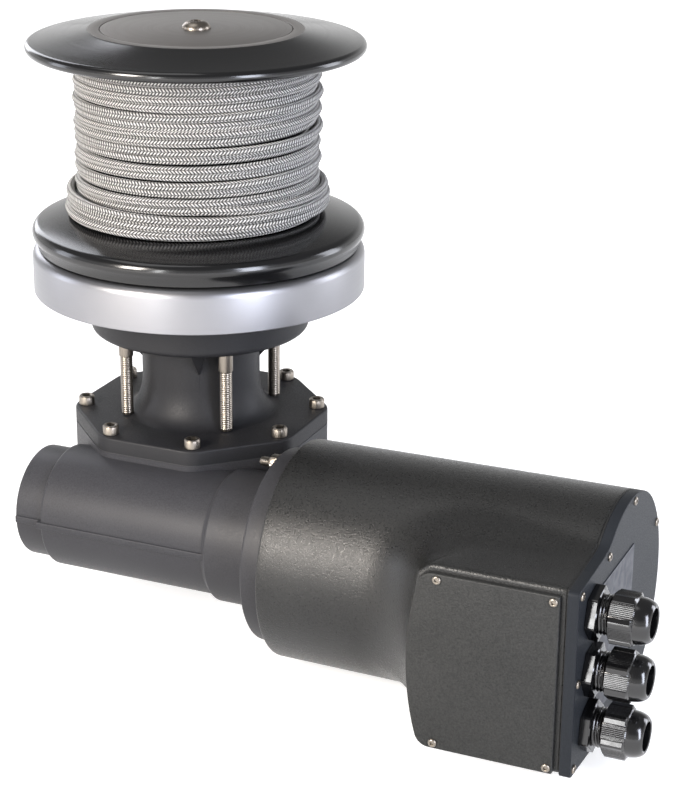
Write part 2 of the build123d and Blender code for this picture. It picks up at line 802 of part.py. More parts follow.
def sweep_face(x, share):
    """Four-sided section of the box where it grows out of the round cover."""
    low = (0.3 + 0.7 * share) * box_half_h
    upper, lower = box_corners(swept_front(x), low)
    rise = (cover_radius(x) - 1.0) * sin(radians(50)) * (0.55 + 0.45 * share)
    drop = (cover_radius(x) - 1.0) * sin(radians(65)) * (0.55 + 0.45 * share)
    top = (-sqrt((cover_radius(x) - 0.5) ** 2 - rise ** 2), rise)
    bottom = (-sqrt((cover_radius(x) - 0.5) ** 2 - drop ** 2), -drop)
    return Pos(0, 0, x) * outline((0, 0), top, upper, lower, bottom)


def cover_form():
    """Outer form of the cover: drafted cone with the box swept out of its front."""
    length = cover_end_x - can_x
    form = Pos(0, 0, can_x + length / 2) * Cone(cover_radius(can_x), cover_radius(cover_end_x), length)
    stations = [box_left_x - sweep_run * (1 - share) for share in sweep_shares]
    for index in range(len(sweep_shares) - 1):
        faces = [sweep_face(stations[index + k], sweep_shares[index + k]) for k in (0, 1)]
        form += loft(faces, ruled=True)
    return form + box_block(cover_radius(box_left_x), 0, box_left_x, cover_end_x)


def lid_screw_axis(x, z, depth):
    """Place of a cover plate screw in the motor's frame: -Z points into the box."""
    return motor_place.inverse() * Pos(x, box_front_y + depth, z) * Rot(90, 0, 0)


def make_cover():
    """Shell of the cover with its window, screw bosses and threads."""
    form = cover_form()
    inside = rod(cover_r - cover_wall, can_x + cover_lip_w, cover_end_x + 1)
    inside += rod(can_r + soft_gap, can_x - 1, can_x + cover_lip_w + 1)
    inside += box_block(cover_radius(box_left_x), cover_wall, box_left_x + cover_wall, cover_end_x + 1)
    shell = form - inside
    window_w = lid_right - lid_left - 2 * window_margin
    window_h = 2 * (lid_half_h - window_margin)
    window_x = (lid_left + lid_right) / 2
    window = Pos(box_front_y + centre_distance, lid_mid_z + motor_drop, window_x)
    shell -= window * Box(20, window_h, window_w)
    bosses = [Pos(y, z, 0) * rod(screw_boss_r, cover_end_x - 12, cover_end_x) for y, z in end_screw_points]
    bosses += [lid_screw_axis(x, z, 0) * rod(screw_boss_r, -12, 0) for x, z in lid_screw_points]
    for boss in bosses:
        shell += form & boss
    for y, z in end_screw_points:
        shell -= Pos(y, z, 0) * rod(m3_r + seat_gap, cover_end_x - m3_thread - 3, cover_end_x + 1)
    for x, z in lid_screw_points:
        shell -= lid_screw_axis(x, z, 0) * rod(m3_r + seat_gap, -11, 1)
    return shell


def end_face():
    """Outline of the cover's closed end: round cover with the box at its front."""
    circle_r = cover_radius(cover_end_x)
    return Circle(circle_r) + box_outline(circle_r, box_front_y - lid_w, box_half_h)


def end_screws_at():
    """Places of the end plate's screws in the motor's frame."""
    rim = end_screw_pcd / 2
    points = [(rim * cos(radians(a)), rim * sin(radians(a))) for a in end_screw_angles]
    front = box_front_y - lid_w + centre_distance + end_screw_front
    mid = box_mid_z + motor_drop
    for side in (1, 0, -1):
        points.append((front, mid + side * (box_half_h - end_screw_corner)))
    return points


sweep_shares = (0.0, 0.35, 0.7, 1.0)
end_screw_points = end_screws_at()
lid_screw_points = [
    (x, lid_mid_z + side * (lid_half_h - lid_screw_inset))
    for x in (lid_left + lid_screw_left, lid_right - lid_screw_inset)
    for side in (1, -1)
]
keep("motor_cover", motor_place * make_cover())

gland_places = [
    Pos(gland_y + centre_distance, box_mid_z + motor_drop + gland_pitch * k, 0) for k in (1, 0, -1)
]


def make_end_plate():
    """Flat plate that closes the motor cover and carries the glands."""
    plate = extrude(Pos(0, 0, end_plate_x) * end_face(), end_plate_w)
    for place in gland_places:
        plate -= place * rod(gland_neck_r + running, end_plate_x - 1, end_face_x + 1)
    for y, z in end_screw_points:
        plate -= Pos(y, z, 0) * rod(m3_r + 0.2, end_plate_x - 1, end_face_x + 1)
    return plate


def make_end_gasket():
    """Flat gasket under the end plate, as wide as the cover's wall, with pads at the screws."""
    x0 = end_gasket_x
    x1 = end_gasket_x + end_gasket_w
    form = rod(cover_radius(cover_end_x), x0, x1) + box_block(cover_radius(box_left_x), 0, x0, x1)
    inside = rod(cover_r - cover_wall, x0 - 1, x1 + 1)
    inside += box_block(cover_radius(box_left_x), cover_wall, x0 - 1, x1 + 1)
    seal = form - inside
    for y, z in end_screw_points:
        seal += form & (Pos(y, z, 0) * rod(screw_boss_r, x0, x1))
    for y, z in end_screw_points:
        seal -= Pos(y, z, 0) * rod(m3_r + 0.2, x0 - 1, x1 + 1)
    return seal


def pan_screw(length):
    """Small pan head screw along Z: its head stands on 0, the shank goes down."""
    screw = rod(m3_r, -length, 0) + rod(m3_head_r, 0, m3_head_h)
    return screw - hexagon(2.0, 0.4, m3_head_h + 1)


keep("end_plate", motor_place * make_end_plate())
keep("end_gasket", motor_place * make_end_gasket())
end_screw = pan_screw(end_plate_w + end_gasket_w + m3_thread)
keep("end_plate_screws", *[motor_place * Pos(y, z, end_face_x) * end_screw for y, z in end_screw_points])


def lid_face():
    """Cover plate's outline in X and Z: bulged left edge, rounded corners."""
    face = outline(
        (lid_left, -lid_half_h),
        (lid_right, -lid_half_h),
        (lid_right, lid_half_h),
        (lid_left, lid_half_h),
        ((lid_left - lid_bulge, 0), (lid_left, -lid_half_h)),
    )
    face = fillet(face.vertices().sort_by(Axis.X)[:2], lid_corner)
    return fillet(face.vertices().sort_by(Axis.X)[-2:], 2.0)


def lid_layer(y, width):
    """Layer of the cover plate's outline, its back at y."""
    face = Plane(origin=(0, y, lid_mid_z), x_dir=(1, 0, 0), z_dir=(0, -1, 0)) * lid_face()
    layer = extrude(face, width)
    for x, z in lid_screw_points:
        layer -= Pos(x, y, z) * Rot(90, 0, 0) * rod(m3_r + 0.2, -width - 1, width + 1)
    return layer


lid_gasket = lid_layer(box_front_y, lid_gasket_w)
lid_gasket -= Pos((lid_left + lid_right) / 2, box_front_y, lid_mid_z) * Box(
    lid_right - lid_left - 2 * window_margin, 6, 2 * (lid_half_h - window_margin)
)
keep("box_cover_plate", lid_layer(box_front_y - lid_gasket_w, lid_w - lid_gasket_w))
keep("box_cover_gasket", lid_gasket)
lid_screw = Rot(90, 0, 0) * pan_screw(lid_w + 7)
keep("box_cover_screws", *[Pos(x, box_front_y - lid_w, z) * lid_screw for x, z in lid_screw_points])


# ---------------------------------------------------------------- cable glands
def make_gland_body():
    """Gland body: hexagon against the plate, neck outwards, spigot inwards."""
    body = rod(gland_neck_r, end_plate_x - locknut_w - 1, gland_x + gland_neck_len)
    body += hexagon(gland_af, gland_x, gland_x + gland_flange_w)
    body -= rod(gland_bore_r, end_plate_x - 20, gland_x + gland_neck_len + 1)
    body -= rod(gland_neck_r - 1.2, gland_x + gland_neck_len - 5, gland_x + gland_neck_len + 1)
    return body


cap_x = gland_x + gland_flange_w + gland_neck_show
dome_x = cap_x + gland_cap_w
tip_x = dome_x + gland_dome_w


def make_gland_cap():
    """Hexagonal cap nut with a rounded nose and the cable's mouth."""
    nose_r = gland_af / 2
    mouth = gland_mouth_r + 1.5
    cap = hexagon(gland_af, cap_x, dome_x)
    nose = turned(
        (0, dome_x),
        (nose_r, dome_x),
        ((nose_r * 0.965, dome_x + gland_dome_w * 0.55), (mouth, tip_x)),
        (0, tip_x),
    )
    cap += nose
    cap -= rod(gland_neck_r + running, cap_x - 1, gland_x + gland_neck_len + 0.5)
    cap -= rod(gland_neck_r - 1.4, cap_x, tip_x - 2.5)
    cap -= rod(gland_mouth_r, cap_x, tip_x + 1)
    return cap


seal_x0 = gland_x + gland_neck_len - 4.8
gland_seal = ring(gland_neck_r - 1.5, cable_r, seal_x0, tip_x - 2.7)
gland_nut = hexagon(locknut_af, end_plate_x - locknut_w, end_plate_x) & ring(
    locknut_r, gland_neck_r + seat_gap, end_plate_x - locknut_w, end_plate_x
)
keep("gland_bodies", *[motor_place * place * make_gland_body() for place in gland_places])
keep("gland_cap_nuts", *[motor_place * place * make_gland_cap() for place in gland_places])
keep("gland_seals", *[motor_place * place * gland_seal for place in gland_places])
keep("gland_locknuts", *[motor_place * place * gland_nut for place in gland_places])


# ---------------------------------------------------------------- control gear in the box
relay_size = (38.0, 26.0, 60.0)
bracket_w = 2.0
bracket_h = 64.0
bracket_foot = 30.0
bracket_x = can_end_x + end_shield_w + 3
bracket_front_y = -centre_distance - can_r - 1.5
relay_y = bracket_front_y - relay_size[1] / 2
relay_x = bracket_x + relay_size[0] / 2
relay = Pos(relay_x, relay_y, box_mid_z) * Box(*relay_size)
keep("contactor", fillet(relay.edges().filter_by(Axis.Z), 2))
bracket = Pos(relay_x, bracket_front_y + bracket_w / 2, box_mid_z) * Box(relay_size[0], bracket_w, bracket_h)
bracket += Pos(bracket_x + bracket_w / 2, bracket_front_y + bracket_foot / 2, box_mid_z) * Box(
    bracket_w, bracket_foot, bracket_h
)
keep("contactor_bracket", bracket)
terminals = []
for dx in (-11, 11):
    for side in (1, -1):
        place = Pos(relay_x + dx, relay_y, box_mid_z + side * relay_size[2] / 2)
        terminals.append(place * Rot(0 if side > 0 else 180, 0, 0) * (rod(2.5, 0, 9) + hexagon(8, 2, 6)))
keep("terminal_studs", *terminals)

label_face = outline(
    (label_left, label_low), (label_right, label_low), (label_right, label_high), (label_left, label_high)
)
label = extrude(Pos(0, 0, end_face_x) * label_face, label_w)
for place in gland_places:
    label -= place * rod(gland_af / sqrt(3) + soft_gap, end_face_x - 1, end_face_x + 2)
keep("label_plate", motor_place * label)

# ---------------------------------------------------------------- export
os.makedirs("parts", exist_ok=True)
for name, shape in nodes.items():
    export_step(shape, f"parts/{name}.step")
print(len(nodes), "nodes written")
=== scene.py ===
"""Deck capstan, dressed: rope drum on a deck ring, worm gear case below, motor with control box and glands.

Lengths are in metres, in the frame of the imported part: +Z along the drum's axis, +X along the motor.
"""

import json
import logging
import math
from contextlib import contextmanager
from dataclasses import dataclass
from enum import Enum
from typing import Any, Callable, Iterator, Sequence

import bmesh
import bpy
from mathutils import Matrix, Vector


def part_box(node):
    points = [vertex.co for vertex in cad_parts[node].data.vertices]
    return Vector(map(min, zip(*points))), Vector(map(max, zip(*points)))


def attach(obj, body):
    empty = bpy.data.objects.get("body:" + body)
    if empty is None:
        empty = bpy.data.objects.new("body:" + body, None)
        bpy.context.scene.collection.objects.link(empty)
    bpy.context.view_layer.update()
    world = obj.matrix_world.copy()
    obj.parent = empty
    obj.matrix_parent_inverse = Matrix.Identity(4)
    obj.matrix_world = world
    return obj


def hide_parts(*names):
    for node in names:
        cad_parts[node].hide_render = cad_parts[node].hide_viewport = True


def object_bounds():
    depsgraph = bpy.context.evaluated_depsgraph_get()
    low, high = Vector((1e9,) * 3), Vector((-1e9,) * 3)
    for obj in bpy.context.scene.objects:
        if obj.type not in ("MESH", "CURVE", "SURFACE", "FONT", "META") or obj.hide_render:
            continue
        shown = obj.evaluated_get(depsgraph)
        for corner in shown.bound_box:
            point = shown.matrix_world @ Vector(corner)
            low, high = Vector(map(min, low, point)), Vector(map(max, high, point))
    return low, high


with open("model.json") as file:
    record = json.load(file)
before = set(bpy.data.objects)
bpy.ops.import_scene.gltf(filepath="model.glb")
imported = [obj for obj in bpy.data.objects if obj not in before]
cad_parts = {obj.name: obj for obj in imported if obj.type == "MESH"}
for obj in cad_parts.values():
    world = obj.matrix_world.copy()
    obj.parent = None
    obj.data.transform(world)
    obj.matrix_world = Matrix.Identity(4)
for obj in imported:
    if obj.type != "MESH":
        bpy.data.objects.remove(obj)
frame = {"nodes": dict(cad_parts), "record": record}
CAD_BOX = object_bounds()
LOG = logging.getLogger("capstan")
MM = 0.001
TOUCH = 0.002 * MM
WHITE = (1.0, 1.0, 1.0, 1.0)
JOINTS = {joint["name"]: Vector(joint["pos_m"]) for joint in frame["record"]["behaviour"]["joints"]}
MOTOR_AXIS = JOINTS["rotor_spin"]

Spot = tuple[float, float]
Radius = float | Callable[[float], float]
Colour = tuple[float, float, float, float]
Piece = bpy.types.Object
Tree = bpy.types.NodeTree
Socket = bpy.types.NodeSocket


class Body(Enum):
    """The moving bodies that pieces ride on."""

    HOUSING = "housing"
    DRUM = "drum"
    ROTOR = "rotor"


class Slot(Enum):
    """The record's material slots that new pieces take their finish from."""

    RING = "ring_metal"
    CASTING = "cast_grey"
    COVER = "cover_black"
    PLATE = "plate_grey"
    DRUM = "drum_black"
    CAP = "cap_metal"
    STAINLESS = "stainless"
    NYLON = "gland_nylon"
    RUBBER = "seal_rubber"
    ROPE = "rope_braid"
    LABEL = "label_blank"


# ------------------------------------------------------------------ placing
def along_motor(start: float = 0.0, across: float = 0.0, up: float = 0.0) -> Matrix:
    """Place of a piece whose own +Z runs along the motor, own +X up and own +Y to the front.

    Args:
        start: Place of the piece's own origin along X.
        across: Distance in front of the motor's axis.
        up: Height over the motor's axis.

    Returns:
        The matrix that takes the piece there.
    """
    turn = Matrix(((0, 0, 1, 0), (0, -1, 0, 0), (1, 0, 0, 0), (0, 0, 0, 1)))
    return Matrix.Translation((start, MOTOR_AXIS.y - across, MOTOR_AXIS.z + up)) @ turn


def on_end_plate(x: float, low: Vector, high: Vector) -> Matrix:
    """Place at X over the middle of a box's Y and Z, as along_motor turns it."""
    middle = (low + high) / 2
    return along_motor(x, MOTOR_AXIS.y - middle.y, middle.z - MOTOR_AXIS.z)


def out_of_front(x: float, y: float, z: float) -> Matrix:
    """Place of a piece whose own +Z points out of the box's front, own +X along the motor, own +Y up."""
    turn = Matrix(((1, 0, 0, 0), (0, 0, -1, 0), (0, 1, 0, 0), (0, 0, 0, 1)))
    return Matrix.Translation((x, y, z)) @ turn


def solids_of(node: str) -> list[tuple[Vector, Vector]]:
    """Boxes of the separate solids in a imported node.

    Args:
        node: The node's name.

    Returns:
        The lowest and highest corner of each solid, sorted by place.
    """
    mesh = frame["nodes"][node].data
    keys = [tuple(round(c / TOUCH / 10) for c in vertex.co) for vertex in mesh.vertices]
    parent: dict[tuple, tuple] = {key: key for key in keys}

    def root(key: tuple) -> tuple:
        """Representative of a corner's solid."""
        while parent[key] != key:
            parent[key] = parent[parent[key]]
            key = parent[key]
        return key

    for face in mesh.polygons:
        first = root(keys[face.vertices[0]])
        for index in face.vertices[1:]:
            parent[root(keys[index])] = first
    groups: dict[tuple, list[Vector]] = {}
    for key, vertex in zip(keys, mesh.vertices):
        groups.setdefault(root(key), []).append(vertex.co)
    boxes = [
        (Vector([min(c[i] for c in group) for i in range(3)]), Vector([max(c[i] for c in group) for i in range(3)]))
        for group in groups.values()
    ]
    return sorted(boxes, key=lambda box: tuple(round(c, 4) for c in box[0]))


# ------------------------------------------------------------------ modelling
def rest() -> None:
    """Leave edit mode and clear the selection."""
    active = bpy.context.view_layer.objects.active
    if active is not None and active.mode != "OBJECT":
        bpy.ops.object.mode_set(mode="OBJECT")
    bpy.ops.object.select_all(action="DESELECT")


def take(piece: Piece) -> None:
    """Make one piece the only selected and the active one."""
    rest()
    piece.select_set(True)
    bpy.context.view_layer.objects.active = piece


@contextmanager
def editing(piece: Piece, kind: str = "VERT") -> Iterator[None]:
    """Edit mode on one piece.

    Args:
        piece: The piece to work on.
        kind: VERT, EDGE or FACE, what is picked.
    """
    take(piece)
    bpy.ops.object.mode_set(mode="EDIT")
    bpy.ops.mesh.select_mode(type=kind)
    yield
    bpy.ops.object.mode_set(mode="OBJECT")


def pick(piece: Piece, kind: str, test: Callable[[Vector, Vector], bool]) -> None:
    """Select elements of the piece being edited by their place.

    Args:
        piece: The piece in edit mode.
        kind: VERT, EDGE or FACE.
        test: Takes a face's middle and normal, an edge's two ends, or a corner's place and normal.
    """
    mesh = bmesh.from_edit_mesh(piece.data)
    bpy.ops.mesh.select_all(action="DESELECT")
    if kind == "VERT":
        for vertex in mesh.verts:
            vertex.select_set(test(vertex.co, vertex.normal))
    elif kind == "EDGE":
        for edge in mesh.edges:
            edge.select_set(test(edge.verts[0].co, edge.verts[1].co))
    else:
        for face in mesh.faces:
            face.select_set(test(face.calc_center_median(), face.normal))
    bmesh.update_edit_mesh(piece.data)


def smooth(piece: Piece, angle: float = 32.0) -> Piece:
    """Shade a piece smooth, with hard edges over an angle in degrees."""
    take(piece)
    bpy.ops.object.shade_smooth_by_angle(angle=math.radians(angle))
    return piece


def named(piece: Piece, name: str) -> Piece:
    """Name a piece and its mesh."""
    piece.name = name
    piece.data.name = name
    return piece


def put(piece: Piece, place: Matrix) -> Piece:
    """Move a piece's mesh, and leave its object at the origin."""
    piece.data.transform(place)
    piece.data.update()
    return piece


def raised(piece: Piece, height: float) -> Piece:
    """Move a piece's mesh up."""
    return put(piece, Matrix.Translation((0, 0, height)))


def copied(piece: Piece, name: str, place: Matrix) -> Piece:
    """A copy of a piece with a mesh of its own, moved by a matrix."""
    twin = piece.copy()
    twin.data = piece.data.copy()
    bpy.context.scene.collection.objects.link(twin)
    return named(put(twin, place), name)


def discard(piece: Piece) -> None:
    """Delete a pattern piece that was only modelled to be copied."""
    mesh = piece.data
    bpy.data.objects.remove(piece)
    bpy.data.meshes.remove(mesh)


def joined(pieces: Sequence[Piece], name: str) -> Piece:
    """Join pieces into the first one, under a new name."""
    rest()
    for piece in pieces:
        piece.select_set(True)
    bpy.context.view_layer.objects.active = pieces[0]
    bpy.ops.object.join()
    return named(pieces[0], name)


def rounded(corners: Sequence[tuple[float, float, float]], steps: int = 6, closed: bool = True) -> list[Spot]:
    """Polyline through corners, each eased by its own radius.

    Args:
        corners: Places and radii (u, v, radius).
        steps: Pieces of each rounding.
        closed: Whether the last corner joins the first.

    Returns:
        The points, without the first one repeated.
    """
    spots: list[Spot] = []
    count = len(corners)
    for index, (u, v, radius) in enumerate(corners):
        if radius <= 0 or (not closed and index in (0, count - 1)):
            spots.append((u, v))
            continue
        here = Vector((u, v))
        before = Vector(corners[index - 1][:2]) - here
        after = Vector(corners[(index + 1) % count][:2]) - here
        half = before.angle(after) / 2
        run = min(radius / math.tan(half), 0.495 * before.length, 0.495 * after.length)
        ease = run * math.tan(half)
        centre = here + (before.normalized() + after.normalized()).normalized() * (ease / math.sin(half))
        first = here + before.normalized() * run - centre
        last = here + after.normalized() * run - centre
        turn = first.angle_signed(last)
        for step in range(steps + 1):
            spot = centre + Matrix.Rotation(-turn * step / steps, 2) @ first
            spots.append((spot.x, spot.y))
    return spots


def single_point(name: str) -> Piece:
    """A new piece that is one corner at the origin."""
    rest()
    bpy.ops.mesh.primitive_plane_add(size=MM)
    piece = named(bpy.context.object, name)
    with editing(piece):
        bpy.ops.mesh.select_all(action="SELECT")
        bpy.ops.mesh.merge(type="CENTER")
    return piece


def extrude(*ways: Sequence[float]) -> None:
    """Extrude what is selected by each way in turn."""
    for way in ways:
        bpy.ops.mesh.extrude_region_move(TRANSFORM_OT_translate={"value": way})


def close_up() -> None:
    """Merge the touching corners of the piece being edited, and turn its faces outwards."""
    bpy.ops.mesh.select_all(action="SELECT")
    bpy.ops.mesh.remove_doubles(threshold=TOUCH)
    bpy.ops.mesh.normals_make_consistent(inside=False)


def turned(name: str, profile: Sequence[Spot], steps: int = 144) -> Piece:
    """Turned part about Z: one corner drawn along the profile, then spun.

    Args:
        name: The piece's name.
        profile: Points (radius, height); a closed profile repeats its first point.
        steps: Facets round the axis.

    Returns:
        The new piece.
    """
    piece = single_point(name)
    with editing(piece):
        bpy.ops.mesh.select_all(action="SELECT")
        bpy.ops.transform.translate(value=(profile[0][0], 0.0, profile[0][1]))
        extrude(*[(b[0] - a[0], 0.0, b[1] - a[1]) for a, b in zip(profile, profile[1:])])
        bpy.ops.mesh.select_all(action="SELECT")
        bpy.ops.mesh.spin(steps=steps, angle=math.tau, center=(0, 0, 0), axis=(0, 0, 1))
        close_up()
    return smooth(piece)


def drawn(name: str, loops: Sequence[Sequence[Sequence[float]]]) -> Piece:
    """Closed skin through loops: a circle extruded once per loop, each ring laid on its loop.

    Args:
        name: The piece's name.
        loops: Closed loops of equally many places, all in the same sense.

    Returns:
        The new piece.
    """
    count = len(loops[0])
    rest()
    bpy.ops.mesh.primitive_circle_add(vertices=count, radius=1.0, fill_type="NOTHING")
    piece = named(bpy.context.object, name)
    start = math.atan2(piece.data.vertices[0].co.y, piece.data.vertices[0].co.x)
    with editing(piece):
        bpy.ops.mesh.select_all(action="SELECT")
        extrude(*[(0, 0, 1)] * (len(loops) - 1))
        for level in (0, len(loops) - 1):
            pick(piece, "VERT", lambda place, _: round(place.z) == level)
            bpy.ops.mesh.edge_face_add()
    for vertex in piece.data.vertices:
        turn = round((math.atan2(vertex.co.y, vertex.co.x) - start) / math.tau * count) % count
        vertex.co = loops[round(vertex.co.z)][turn]
    with editing(piece):
        close_up()
    return smooth(piece)


def shaped(name: str, levels: Sequence[tuple[Radius, float]], count: int = 96) -> Piece:
    """Upright part about Z whose radius may change with the angle, such as a nut or a knurled head.

    Args:
        name: The piece's name.
        levels: Radius, or a function of the angle that gives it, and height of each ring.
        count: Corners round a ring.

    Returns:
        The new piece.
    """
    loops = []
    for radius, height in levels:
        loop = []
        for index in range(count):
            angle = math.tau * index / count
            reach = radius(angle) if callable(radius) else radius
            loop.append((reach * math.cos(angle), reach * math.sin(angle), height))
        loops.append(loop)
    return drawn(name, loops)


def plate(name: str, outline: Sequence[Spot], thick: float, edge: float, segments: int = 3) -> Piece:
    """Flat plate on Z = 0 from an outline, its upper edge rounded.

    Args:
        name: The piece's name.
        outline: Closed outline in the piece's own XY plane.
        thick: Thickness along Z.
        edge: Rounding of the upper edge.
        segments: Steps of the rounding.

    Returns:
        The new piece.
    """
    rest()
    bpy.ops.mesh.primitive_circle_add(vertices=len(outline), radius=1.0, fill_type="NGON")
    piece = named(bpy.context.object, name)
    for vertex, (u, v) in zip(piece.data.vertices, outline):
        vertex.co = (u, v, 0.0)
    with editing(piece, "FACE"):
        bpy.ops.mesh.select_all(action="SELECT")
        extrude((0, 0, thick))
        bpy.ops.mesh.select_mode(type="EDGE")
        pick(piece, "EDGE", lambda a, b: min(a.z, b.z) > thick - TOUCH)
        bpy.ops.mesh.bevel(offset=edge, segments=segments, profile=0.5, affect="EDGES", clamp_overlap=True)
        bpy.ops.mesh.select_all(action="SELECT")
        bpy.ops.mesh.normals_make_consistent(inside=False)
    return smooth(piece)


def octagon(radius: float, corner: float) -> list[Spot]:
    """Octagon with flats across the axes and rounded corners; the radius is that of its sharp corners."""
    turns = [math.radians(22.5 + 45 * i) for i in range(8)]
    return rounded([(radius * math.cos(a), radius * math.sin(a), corner) for a in turns], 6)


def ridge_section(foot: Spot, crest: Spot, ease: float, steps: int) -> list[Spot]:
    """Section of a raised line.

    Args:
        foot: Place along U and half width of its foot.
        crest: The same of its crest.
        ease: Rounding of the crest's corners.
        steps: Pieces of each rounding.

    Returns:
        The closed section.
    """
    (inner, wide), (out, half) = foot, crest
    return rounded([(inner, -wide, 0), (out, -half, ease), (out, half, ease), (inner, wide, 0)], steps)


def hexagonal(across_flats: float, corner: float = 0.0) -> Callable[[float], float]:
    """Radius of a hexagon at an angle.

    Args:
        across_flats: Distance between opposite flats.
        corner: Radius that the corners are cut to, or 0 for sharp ones.

    Returns:
        The function from angle to radius; flats face angle 0.
    """

    def radius(angle: float) -> float:
        """Radius at one angle."""
        flat = across_flats / 2 / math.cos((angle + math.pi / 6) % (math.pi / 3) - math.pi / 6)
        return min(flat, corner) if corner else flat

    return radius


def thread(name: str, radius: float, pitch: float, length: float, depth: float, steps: int = 20) -> Piece:
    """Helical outside thread along +Z.

    Args:
        name: The piece's name.
        radius: Outer radius over the crests.
        pitch: Rise of one turn.
        length: Length of the threaded stretch.
        depth: Crest height over the root.
        steps: Facets of one turn.

    Returns:
        The thread with a plain core, so that its ends are closed.
    """
    root = radius - depth
    ridge = single_point(name + "_ridge")
    with editing(ridge):
        bpy.ops.mesh.select_all(action="SELECT")
        bpy.ops.transform.translate(value=(root, 0, 0))
        extrude((depth, 0, pitch * 0.42), (0, 0, pitch * 0.12), (-depth, 0, pitch * 0.42))
    winding = ridge.modifiers.new("winding", "SCREW")
    winding.axis = "Z"
    winding.screw_offset = pitch
    winding.iterations = max(1, int(length / pitch) - 1)
    winding.steps = winding.render_steps = steps
    winding.use_merge_vertices = True
    winding.use_normal_calculate = True
    take(ridge)
    bpy.ops.object.modifier_apply(modifier="winding")
    waist, over = root - depth * 0.2, root + 0.02 * MM
    core = turned(name + "_core", [
        (0, 0), (waist, 0), (over, depth), (over, length - depth), (waist, length), (0, length),
    ], steps * 2)
    return smooth(joined([core, ridge], name), 50)


# ------------------------------------------------------------------ finishes
def linear(code: str) -> Colour:
    """A hex sRGB colour as linear values for a shader socket."""
    levels = [int(code.lstrip("#")[i:i + 2], 16) / 255 for i in (0, 2, 4)]
    red, green, blue = (c / 12.92 if c <= 0.04045 else ((c + 0.055) / 1.055) ** 2.4 for c in levels)
    return (red, green, blue, 1.0)


def add_node(
    tree: Tree, kind: str, values: dict[Any, Any] | None = None, links: dict[Any, Any] | None = None,
) -> bpy.types.Node:
    """Add one shader node with its settings and links.

    Args:
        tree: The material's node tree.
        kind: The node's type.
        values: Values by input name or number, and other settings by attribute name.
        links: Source sockets by input name or number.

    Returns:
        The new node.
    """
    node = tree.nodes.new(kind)
    for key, value in (values or {}).items():
        if isinstance(key, int) or key in node.inputs:
            node.inputs[key].default_value = value
        else:
            setattr(node, key, value)
    for key, source in (links or {}).items():
        tree.links.new(source, node.inputs[key])
    return node


def blank(name: str, **values: Any) -> tuple[bpy.types.Material, Tree, bpy.types.Node, Socket]:
    """A new material with its main shader and coordinates in millimetres.

    Args:
        name: The finish's name.
        values: Plain values of the main shader, by input name with _ for spaces.

    Returns:
        The material, its tree, its main shader and the coordinate socket.
    """
    material = bpy.data.materials.new(name)
    material.use_nodes = True
    tree = material.node_tree
    shader = tree.nodes["Principled BSDF"]
    for key, value in values.items():
        shader.inputs[key.replace("_", " ")].default_value = value
    place = add_node(tree, "ShaderNodeTexCoord").outputs["Object"]
    scaled = add_node(tree, "ShaderNodeMapping", {"Scale": (1 / MM,) * 3}, {"Vector": place})
    return material, tree, shader, scaled.outputs["Vector"]


def maths(tree: Tree, operation: str, *operands: float | Socket, clamp: bool = False) -> Socket:
    """Result of a new Math node, whose operands are plain numbers or sockets."""
    node = add_node(tree, "ShaderNodeMath", {"operation": operation, "use_clamp": clamp})
    for index, operand in enumerate(operands):
        if isinstance(operand, Socket):
            tree.links.new(operand, node.inputs[index])
        else:
            node.inputs[index].default_value = operand
    return node.outputs["Value"]


def noise(tree: Tree, place: Socket, scale: float, detail: float, **more: float) -> Socket:
    """Noise texture over a place; scale counts features in a unit of length."""
    values = {"Scale": scale, "Detail": detail, **more}
    return add_node(tree, "ShaderNodeTexNoise", values, {"Vector": place}).outputs["Fac"]


def remap(tree: Tree, value: Socket, source: Spot, target: Spot = (0.0, 1.0), soft: bool = False) -> Socket:
    """Value carried from one range to another and held inside it, with eased ends if soft."""
    values: dict[str, Any] = {"interpolation_type": "SMOOTHSTEP"} if soft else {}
    values |= {"From Min": source[0], "From Max": source[1], "To Min": target[0], "To Max": target[1]}
    return add_node(tree, "ShaderNodeMapRange", values, {"Value": value}).outputs["Result"]


def mixed(tree: Tree, share: Socket, first: str, second: str) -> Socket:
    """Mix of two hex colours by a share."""
    values = {"data_type": "RGBA", 6: linear(first), 7: linear(second)}
    return add_node(tree, "ShaderNodeMix", values, {0: share}).outputs[2]


def surface(
    tree: Tree, shader: bpy.types.Node, height: Socket, depth: float,
    gloss: Socket | None = None, colour: Socket | None = None,
) -> None:
    """Link relief, gloss and colour to a main shader.

    Args:
        tree: The material's node tree.
        shader: The main shader.
        height: Height of the relief, 0 to 1.
        depth: Depth of the relief in metres.
        gloss: Roughness, if it varies.
        colour: Base colour, if it varies.
    """
    relief = add_node(tree, "ShaderNodeBump", {"Distance": depth, "Strength": 1.0}, {"Height": height})
    tree.links.new(relief.outputs["Normal"], shader.inputs["Normal"])
    for source, target in ((gloss, "Roughness"), (colour, "Base Color")):
        if source is not None:
            tree.links.new(source, shader.inputs[target])


